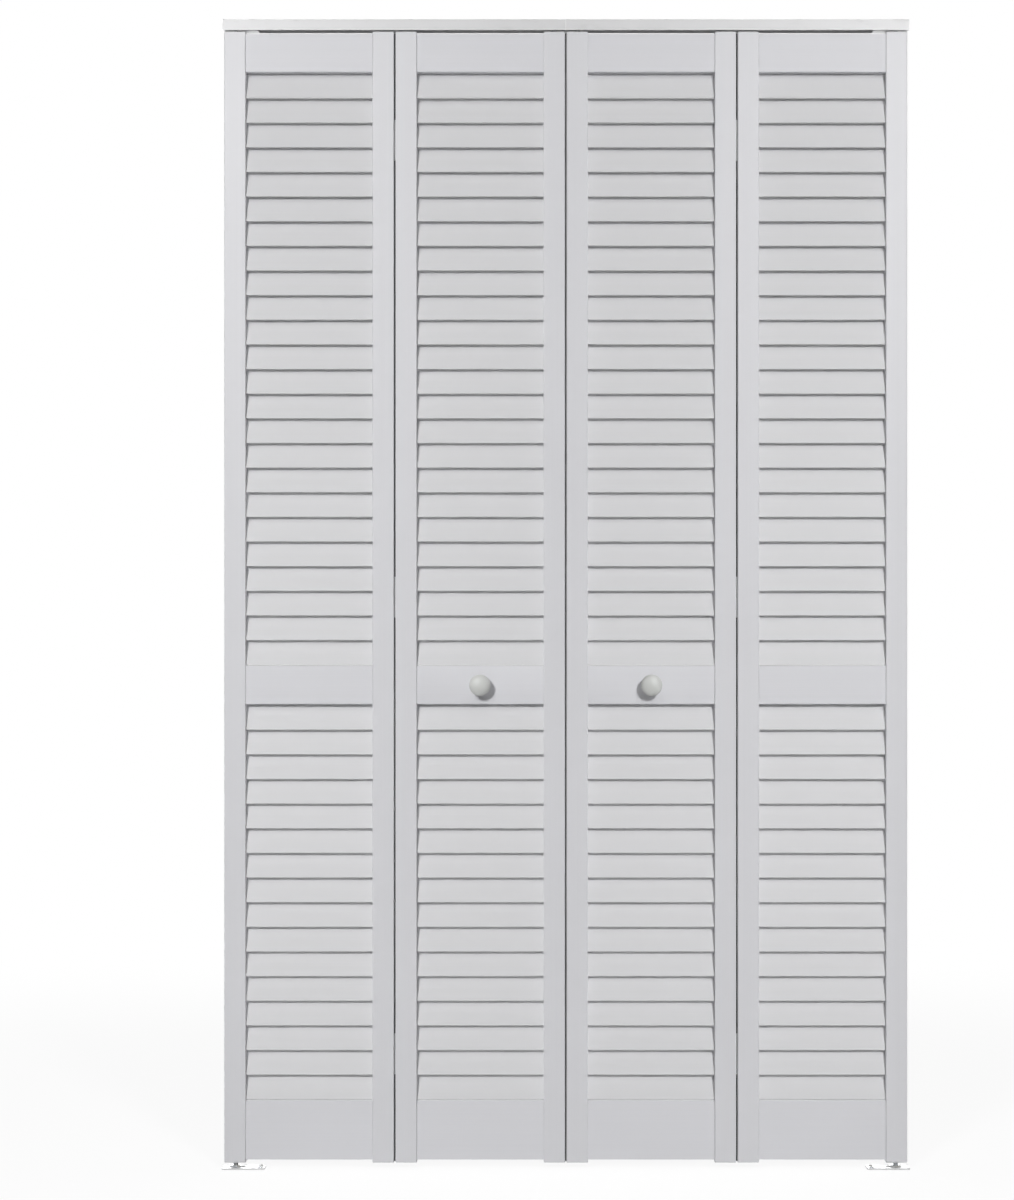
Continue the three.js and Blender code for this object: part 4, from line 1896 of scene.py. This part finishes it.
@dataclass
class PivotPins:
    """Sprung top pins, their springs, and threaded foot pins with hexagonal collars.

    Attributes:
        finishes: the door's materials
        pin_sides: faces round a top pin
        pin_bevel: bevel of a top pin's lower end
        neck_radius: radius of its neck, above the shoulder
        shoulder_height: height of its shoulder above its lower end
        shoulder_bevel: bevel of the shoulder
        groove: drop below the shoulder and depth, of each ring of the groove
        neck_tip: drop below the upper end and loss of radius, of each ring of the neck's tip
        wire_radius: radius of the spring's wire
        wire_sides: faces round the wire
        coil_turns: turns of the spring
        coil_steps: faces along one turn
        press_keep: share of the spring's length that is left when it is pressed
        core_sides: faces round a foot pin's core
        thread_radius: radius over the thread
        thread_pitch: rise of one turn of the thread
        thread_depth: depth of the thread
        thread_steps: faces along one turn
        thread_insets: how far inside the collar the thread starts and below the top it ends
        end_bevel: bevel of the core's upper end
        tip_radius: radius of the plain tip that stands in the floor bracket
        tip_bevel: bevel of that tip
        collar_play: gap between the collar and the floor bracket
        collar_height: height of the collar
        collar_sides: sides of the collar
        collar_end: place from the collar's end and radius, of each ring at an end
    """

    finishes: Wardrobe
    pin_sides: int = 40
    pin_bevel: float = 0.001
    neck_radius: float = 0.0039
    shoulder_height: float = 0.034
    shoulder_bevel: float = 0.0004
    groove: Sequence[Ring] = ((0.0055, 0.0), (0.0050, 0.0005), (0.0040, 0.0005), (0.0035, 0.0))
    neck_tip: Sequence[Ring] = ((0.0016, 0.0), (0.0008, 0.0004), (0.0002, 0.0012), (0.0, 0.0022))
    wire_radius: float = 0.0005
    wire_sides: int = 8
    coil_turns: int = 15
    coil_steps: int = 20
    press_keep: float = 16.5 / 26.0
    core_sides: int = 32
    thread_radius: float = 0.00475
    thread_pitch: float = 0.0014
    thread_depth: float = 0.0005
    thread_steps: int = 24
    thread_insets: Tuple[float, float] = (0.0005, 0.0010)
    end_bevel: float = 0.0012
    tip_radius: float = 0.0039
    tip_bevel: float = 0.001
    collar_play: float = 0.0003
    collar_height: float = 0.003
    collar_sides: int = 6
    collar_end: Sequence[Ring] = ((0.0, 0.0080), (0.0005, 0.0090))

    def build(self) -> None:
        """Build the pins and springs of both pairs."""
        for side in Side:
            self.build_top_pin(side)
            self.build_spring(side)
            self.build_foot_pin(side)

    def build_top_pin(self, side: Side) -> None:
        """Build one sprung top pin, with a groove turned below its shoulder."""
        node = f"{side.value}_top_pin"
        span = Span.of(node)
        length = span.high.z - span.low.z
        radius = (span.high.x - span.low.x) / 2
        shoulder = self.shoulder_height
        rings = [
            (0.0, radius - self.pin_bevel),
            (self.pin_bevel, radius),
            *((shoulder - drop, radius - depth) for drop, depth in self.groove),
            (shoulder - self.shoulder_bevel, radius),
            (shoulder, radius - self.shoulder_bevel),
            (shoulder, self.neck_radius),
            *((length - drop, self.neck_radius - loss) for drop, loss in self.neck_tip),
        ]
        place = Vector((span.middle.x, span.middle.y, span.low.z))
        pin = Bench.turned(f"{side.value}_top_pivot_pin", rings, self.pin_sides, place)
        Bench.finish(pin)
        hand_over(pin, node, "zinc", self.finishes.zinc, node)

    def build_spring(self, side: Side) -> None:
        """Wind one spring under its top pin."""
        node = f"{side.value}_top_pin_spring"
        span = Span.of(node)
        mean = (span.high.x - span.low.x) / 2 - self.wire_radius
        height = span.high.z - span.low.z - 2 * self.wire_radius
        bpy.ops.object.select_all(action="DESELECT")
        bpy.ops.mesh.primitive_circle_add(
            vertices=self.wire_sides,
            radius=self.wire_radius,
            fill_type="NOTHING",
            location=(mean, 0.0, 0.0),
            rotation=(math.pi / 2, 0.0, 0.0),
        )
        spring = Bench.settle(Bench.named(f"{side.value}_pin_coil_spring"))
        Bench.wound(spring, height / self.coil_turns, self.coil_turns, self.coil_steps)
        spring.location = (span.middle.x, span.middle.y, span.low.z + self.wire_radius)
        Bench.settle(spring)
        Bench.pick(spring)
        bpy.ops.object.shade_smooth()
        hand_over(spring, f"{side.value}_pivot_leaf", "zinc", self.finishes.zinc, node)
        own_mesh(spring)

    def thread(self, name: str, low: float, high: float) -> Piece:
        """Cut a helical thread between two heights about the origin's axis.

        A small plane is merged into the one point that the thread's outline is drawn from.

        Args:
            name: name of the piece
            low: height of its start
            high: height of its end

        Returns:
            The thread's skin.
        """
        turns = int((high - low) / self.thread_pitch) - 1
        root = self.thread_radius - self.thread_depth
        seed_size = 0.001
        bpy.ops.object.select_all(action="DESELECT")
        bpy.ops.mesh.primitive_plane_add(size=seed_size, location=(root, 0.0, low))
        thread = Bench.settle(Bench.named(name))
        half = self.thread_pitch / 2
        with Bench.shaping(thread, "VERT"):
            bpy.ops.mesh.select_all(action="SELECT")
            bpy.ops.mesh.merge(type="CENTER")
            for step in ((self.thread_depth, 0.0, half), (-self.thread_depth, 0.0, half)):
                bpy.ops.mesh.extrude_region_move(TRANSFORM_OT_translate={"value": step})
        return Bench.wound(thread, self.thread_pitch, turns, self.thread_steps)

    def build_foot_pin(self, side: Side) -> None:
        """Build one threaded foot pin."""
        node = f"{side.value}_foot_pin"
        span = Span.of(node)
        floor = Span.of(f"{side.value}_floor_bracket").high.z
        top = span.high.z - span.low.z
        under = floor + self.collar_play - span.low.z
        over = under + self.collar_height
        root = self.thread_radius - self.thread_depth
        core_rings = [
            (0.0, self.tip_radius - self.tip_bevel),
            (self.tip_bevel, self.tip_radius),
            (under, self.tip_radius),
            (under, root),
            (top - self.end_bevel, root),
            (top, root - self.end_bevel),
        ]
        core = Bench.turned(f"{side.value}_foot_pin_core", core_rings, self.core_sides)
        collar_rings = [
            *((under + inset, radius) for inset, radius in self.collar_end),
            *((over - inset, radius) for inset, radius in reversed(self.collar_end)),
        ]
        collar = Bench.turned(f"{side.value}_foot_pin_collar", collar_rings, self.collar_sides)
        start, end = self.thread_insets
        thread = self.thread(f"{side.value}_foot_pin_thread", over - start, top - end)
        pin = Bench.joined(f"{side.value}_threaded_foot_pin", [core, collar, thread])
        Bench.finish(pin)
        pin.location = (span.middle.x, span.middle.y, span.low.z)
        Bench.settle(pin)
        hand_over(pin, node, "zinc", self.finishes.zinc, node)


@dataclass
class Guides:
    """Guide stems in the lead leaves' top ends, and the wheels that run in the track.

    Attributes:
        finishes: the door's materials
        stem_sides: faces round a stem
        stem_body: height and radius, of each ring of the stem and its flange below the wheel
        spindle_radius: radius of the stem inside the wheel
        stem_head: height and radius, of each ring of the riveted head above the wheel
        wheel_sides: faces round a wheel
        wheel_face: depth and radius, of each ring of a wheel's face with its ring groove
        tread_inset: how far the tread's edges stand in from the faces
        tread_seam: place from the tread's middle and depth, of each ring of its seam
        bore_play: gap between a wheel and its spindle
        bore_sides: faces round a wheel's bore
    """

    finishes: Wardrobe
    stem_sides: int = 40
    stem_body: Sequence[Ring] = (
        (0.0, 0.00375),
        (0.001, 0.00475),
        (0.0363, 0.00475),
        (0.0363, 0.0077),
        (0.0366, 0.0080),
        (0.0373, 0.0080),
        (0.0376, 0.0077),
        (0.0376, 0.00475),
        (0.0416, 0.00475),
        (0.0419, 0.0044),
    )
    spindle_radius: float = 0.003
    stem_head: Sequence[Ring] = (
        (0.0505, 0.0046),
        (0.0511, 0.0046),
        (0.0518, 0.0041),
        (0.0523, 0.0030),
        (0.0525, 0.0015),
    )
    wheel_sides: int = 48
    wheel_face: Sequence[Ring] = (
        (0.0009, 0.0036),
        (0.0002, 0.0046),
        (0.0, 0.0049),
        (0.0, 0.0052),
        (0.0009, 0.0056),
        (0.0009, 0.0072),
        (0.0, 0.0076),
        (0.0, 0.0086),
        (0.0003, 0.0092),
    )
    tread_inset: float = 0.0012
    tread_seam: Sequence[Ring] = (
        (-0.0008, 0.0),
        (-0.0004, 0.00025),
        (0.0004, 0.00025),
        (0.0008, 0.0),
    )
    bore_play: float = 0.0003
    bore_sides: int = 40

    def build(self) -> None:
        """Build the guide of one side, and copy it for the other."""
        first = None
        for side in Side:
            stem_node, wheel_node = f"{side.value}_guide_stem", f"{side.value}_guide_wheel"
            stem_name, wheel_name = f"{side.value}_guide_pin", f"{side.value}_track_wheel"
            middle = Span.of(stem_node).middle
            if first is None:
                stem = self.stem(stem_node, stem_name)
                wheel = self.wheel(wheel_node, wheel_name)
                first = (stem, wheel, middle)
            else:
                first_stem, first_wheel, first_middle = first
                stem = Bench.copied(first_stem, stem_name, middle - first_middle)
                wheel = Bench.copied(first_wheel, wheel_name, middle - first_middle)
            lead = f"{side.value}_lead_leaf"
            hand_over(stem, lead, "zinc", self.finishes.zinc, stem_node)
            hand_over(wheel, wheel_node, "nylon", self.finishes.nylon, wheel_node)

    def stem(self, node: str, name: str) -> Piece:
        """Turn one stem with its flange and its riveted head."""
        span = Span.of(node)
        rings = [
            *self.stem_body,
            (self.stem_body[-1][0], self.spindle_radius),
            (self.stem_head[0][0], self.spindle_radius),
            *self.stem_head,
        ]
        place = Vector((span.middle.x, span.middle.y, span.low.z))
        return Bench.finish(Bench.turned(name, rings, self.stem_sides, place))

    def wheel(self, node: str, name: str) -> Piece:
        """Turn one wheel with a ring groove in each face and a bore."""
        span = Span.of(node)
        high = span.high.z - span.low.z
        radius = span.high.y
        face = [*self.wheel_face, (self.tread_inset, radius)]
        rings = [
            *face,
            *((high / 2 + reach, radius - depth) for reach, depth in self.tread_seam),
            *((high - depth, ring) for depth, ring in reversed(face)),
        ]
        place = Vector((span.middle.x, span.middle.y, span.low.z))
        wheel = Bench.turned(name, rings, self.wheel_sides, place)
        bore = (-CUT_OVERRUN, high + CUT_OVERRUN)
        bore_radius = self.spindle_radius + self.bore_play
        Bench.drill(wheel, place, bore_radius, bore, Way.UP, self.bore_sides)
        return Bench.finish(wheel)


# Studio


@dataclass(frozen=True)
class Lamp:
    """One soft lamp.

    Attributes:
        name: name of the lamp
        place: where it hangs
        size: width and height
        power: power in watts
        spread: angle over which its light spreads, in degrees
        pair: the only pair of leaves that it lights, or None for all
    """

    name: str
    place: Tuple[float, float, float]
    size: Tuple[float, float]
    power: float
    spread: float = 180.0
    pair: Optional[Side] = None

    def hang(self, target: Vector) -> None:
        """Hang the lamp so that it faces a point."""
        data = bpy.data.lights.new(self.name, "AREA")
        data.shape = "RECTANGLE"
        data.size, data.size_y = self.size
        data.energy = self.power
        data.spread = math.radians(self.spread)
        lamp = bpy.data.objects.new(self.name, data)
        bpy.context.scene.collection.objects.link(lamp)
        lamp.location = self.place
        lamp.rotation_euler = (target - lamp.location).to_track_quat("-Z", "Y").to_euler()
        lamp.visible_camera = False
        if self.pair is not None:
            lit = bpy.data.collections.new(f"{self.name}_lit")
            for piece in bpy.context.scene.objects:
                if piece.type == "MESH" and piece.name.startswith((self.pair.value, "studio")):
                    lit.objects.link(piece)
            lamp.light_linking.receiver_collection = lit


@dataclass
class Studio:
    """Camera, soft lamps, white surround, pale floor and the strips of painted shade in the gaps
    between the leaves.

    Attributes:
        distance: from the camera to the leaves' room faces
        view_height: height of the door that the picture takes in at those faces
        picture: width and height of the picture, in pixels
        door_middle: place of the door's middle in the picture
        sensor_height: height of the camera's sensor, in millimetres
        lamps: all lamps
        key_aim: height of the key lamps' aim above the door's middle
        fill: level of the plain fill light
        floor_size: length of the floor's sides
        floor_cuts: cuts across the floor each way
        floor_drop: how far the floor lies below the brackets, so that the two don't meet
        floor_glow: share of the floor's white that is its own
        floor_fade: reach from the middle where that share starts to grow and where it is whole
        floor_tone: grey of the floor where it is seen
        floor_bounce: grey of the floor for the light that it gives back
        gap_shade_grey: grey of the painted shade in the gaps
        gap_shade_depth: how far the painted shade stands in from the leaves' closet faces
        gap_shade_inset: how far the painted shade ends short of the leaves' ends
        gap_shade_play: gap between the painted shade and the stile on each side
    """

    distance: float = 4.0
    view_height: float = 2.1187
    picture: Tuple[int, int] = (1014, 1200)
    door_middle: Tuple[float, float] = (565.8, 597.1)
    sensor_height: float = 36.0
    lamps: Sequence[Lamp] = (
        Lamp("left_key", (-2.00, -5.00, 1.15), (0.80, 0.80), 57.0, 100.0, Side.LEFT),
        Lamp("right_key", (2.00, -5.00, 1.15), (0.80, 0.80), 57.0, 100.0, Side.RIGHT),
        Lamp("left_side", (-2.30, -3.00, 1.60), (1.8, 1.8), 8.0),
        Lamp("right_side", (2.30, -3.00, 1.60), (1.8, 1.8), 8.0),
        Lamp("overhead_panel", (0.0, -5.00, 4.50), (5.0, 3.0), 85.0),
        Lamp("low_back_panel", (0.0, 3.00, -1.60), (3.0, 0.8), 60.0),
    )
    key_aim: float = -1.00
    fill: float = 0.024
    floor_size: float = 14.0
    floor_cuts: int = 6
    floor_drop: float = 0.00005
    floor_glow: float = 0.91
    floor_fade: Tuple[float, float] = (2.3, 3.4)
    floor_tone: float = 0.95
    floor_bounce: float = 0.40
    # grey of the painted shade that darkens the gaps between the leaves
    gap_shade_grey: float = 0.012
    gap_shade_depth: float = 0.0215
    gap_shade_inset: float = 0.0015
    gap_shade_play: float = 0.0001

    def build(self) -> None:
        """Set up the studio round the door."""
        stile = Span.of("left_lead_leaf_meeting_stile")
        middle = Vector((0.0, stile.low.y, stile.middle.z))
        self.set_camera(middle)
        self.lay_floor(Span.of("left_floor_bracket").low.z)
        self.hang_gap_shades()
        for lamp in self.lamps:
            aim = 0.0 if lamp.pair is None else self.key_aim
            lamp.hang(middle + Vector((0.0, 0.0, aim)))
        self.light_surround()

    def set_camera(self, middle: Vector) -> None:
        """Stand the camera square to the leaves, with its shift as the picture is framed."""
        data = bpy.data.cameras.new("camera")
        camera = bpy.data.objects.new("camera", data)
        bpy.context.scene.collection.objects.link(camera)
        camera.location = middle - Vector((0.0, self.distance, 0.0))
        camera.rotation_euler = (math.pi / 2, 0.0, 0.0)
        data.sensor_fit = "VERTICAL"
        data.sensor_height = self.sensor_height
        data.lens = data.sensor_height * self.distance / self.view_height
        width, height = self.picture
        data.shift_x = (width / 2 - self.door_middle[0]) / height
        data.shift_y = (self.door_middle[1] - height / 2) / height
        bpy.context.scene.camera = camera

    @staticmethod
    def seen_white(graph: "Graph") -> Value:
        """Give 1 on rays from the camera and from gloss or glass, and 0 on other light."""
        path = graph.node("ShaderNodeLightPath").outputs
        camera = graph.value(path["Is Camera Ray"])
        gloss = camera.maths("MAXIMUM", camera, path["Is Glossy Ray"])
        return gloss.maths("MAXIMUM", gloss, path["Is Transmission Ray"])

    def light_surround(self) -> None:
        """Make the surround white where it is seen, and a plain fill light elsewhere."""
        world = bpy.data.worlds.new("surround")
        bpy.context.scene.world = world
        graph = Graph.on(world)
        fill = graph.node("ShaderNodeBackground", {}, {"Color": grey(1.0), "Strength": self.fill})
        seen = graph.node("ShaderNodeBackground", {}, {"Color": grey(1.0), "Strength": 1.0})
        surround = graph.blended(self.seen_white(graph), fill, seen)
        graph.node("ShaderNodeOutputWorld", {}, {"Surface": surround})

    def lay_floor(self, height: float) -> None:
        """Lay a pale floor that keeps a faint shadow near the door."""
        bpy.ops.object.select_all(action="DESELECT")
        bpy.ops.mesh.primitive_plane_add(
            size=self.floor_size, location=(0.0, 0.0, height - self.floor_drop)
        )
        floor = Bench.settle(Bench.named("studio_floor"))
        with Bench.shaping(floor, "FACE"):
            bpy.ops.mesh.select_all(action="SELECT")
            bpy.ops.mesh.subdivide(number_cuts=self.floor_cuts)
        graph = Graph.named("studio_floor_white")
        place = graph.node("ShaderNodeTexCoord").outputs["Object"]
        reach = graph.node("ShaderNodeVectorMath", {"operation": "LENGTH"}, {0: place})
        far = graph.value(reach.outputs["Value"]).ramp(*self.floor_fade)
        seen = self.seen_white(graph)
        share = seen * (self.floor_glow + far * (1.0 - self.floor_glow))
        tone = graph.mixed(seen, grey(self.floor_bounce), grey(self.floor_tone))
        diffuse = graph.node("ShaderNodeBsdfDiffuse", {}, {"Color": tone})
        glow = graph.node("ShaderNodeEmission", {}, {"Color": grey(1.0), "Strength": 1.0})
        surface = graph.blended(share, diffuse, glow)
        graph.node("ShaderNodeOutputMaterial", {}, {"Surface": surface})
        floor.data.materials.append(graph.owner)

    def hang_gap_shades(self) -> None:
        """Hang dark strips in the gaps: painted shade, standing in for the shade of the dark closet
        behind them.

        Each is seen from the room side alone, and goes with a leaf when it folds.
        """
        # painted shade: a near-black sheet, seen only from the room side, put in each gap where the
        # closet's shade would be
        graph = Graph.named("dark_cloth")
        dark_shade = graph.node("ShaderNodeBsdfDiffuse", {}, {"Color": grey(self.gap_shade_grey)})
        clear = graph.node("ShaderNodeBsdfTransparent")
        behind = graph.node("ShaderNodeNewGeometry").outputs["Backfacing"]
        surface = graph.blended(behind, dark_shade, clear)
        graph.node("ShaderNodeOutputMaterial", {}, {"Surface": surface})
        gaps = [("left_lead_leaf", "right_lead_leaf", "meeting")]
        gaps += [(f"{side.value}_pivot_leaf", f"{side.value}_lead_leaf", "hinge") for side in Side]
        for body, neighbour, label in gaps:
            spans = [Span.of(f"{leaf}_{label}_stile") for leaf in (body, neighbour)]
            left, right = sorted(spans, key=lambda span: span.low.x)
            wide = right.low.x - left.high.x - 2 * self.gap_shade_play
            place = ((left.high.x + right.low.x) / 2, left.high.y - self.gap_shade_depth, left.middle.z)
            bpy.ops.object.select_all(action="DESELECT")
            bpy.ops.mesh.primitive_plane_add(
                size=1.0, location=place, rotation=(math.pi / 2, 0.0, 0.0)
            )
            strip = Bench.named(f"dark_cloth_{body}")
            strip.scale = (wide, left.high.z - left.low.z - 2 * self.gap_shade_inset, 1.0)
            Bench.settle(strip)
            strip.data.materials.append(graph.owner)
            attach(strip, body)


def main() -> None:
    """Build the door and the studio in order."""
    logging.basicConfig(level=logging.INFO, format="%(message)s")
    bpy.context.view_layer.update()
    bpy.context.scene.view_settings.view_transform = "Standard"
    finishes = Wardrobe()
    for assembly in (
        Leaves(finishes),
        Hinges(finishes),
        PullKnobs(finishes),
        HeadTracks(finishes),
        Brackets(finishes),
        PivotPins(finishes),
        Guides(finishes),
        Studio(),
    ):
        assembly.build()
        LOG.info("%s built", type(assembly).__name__)


if __name__ == "__main__":
    main()
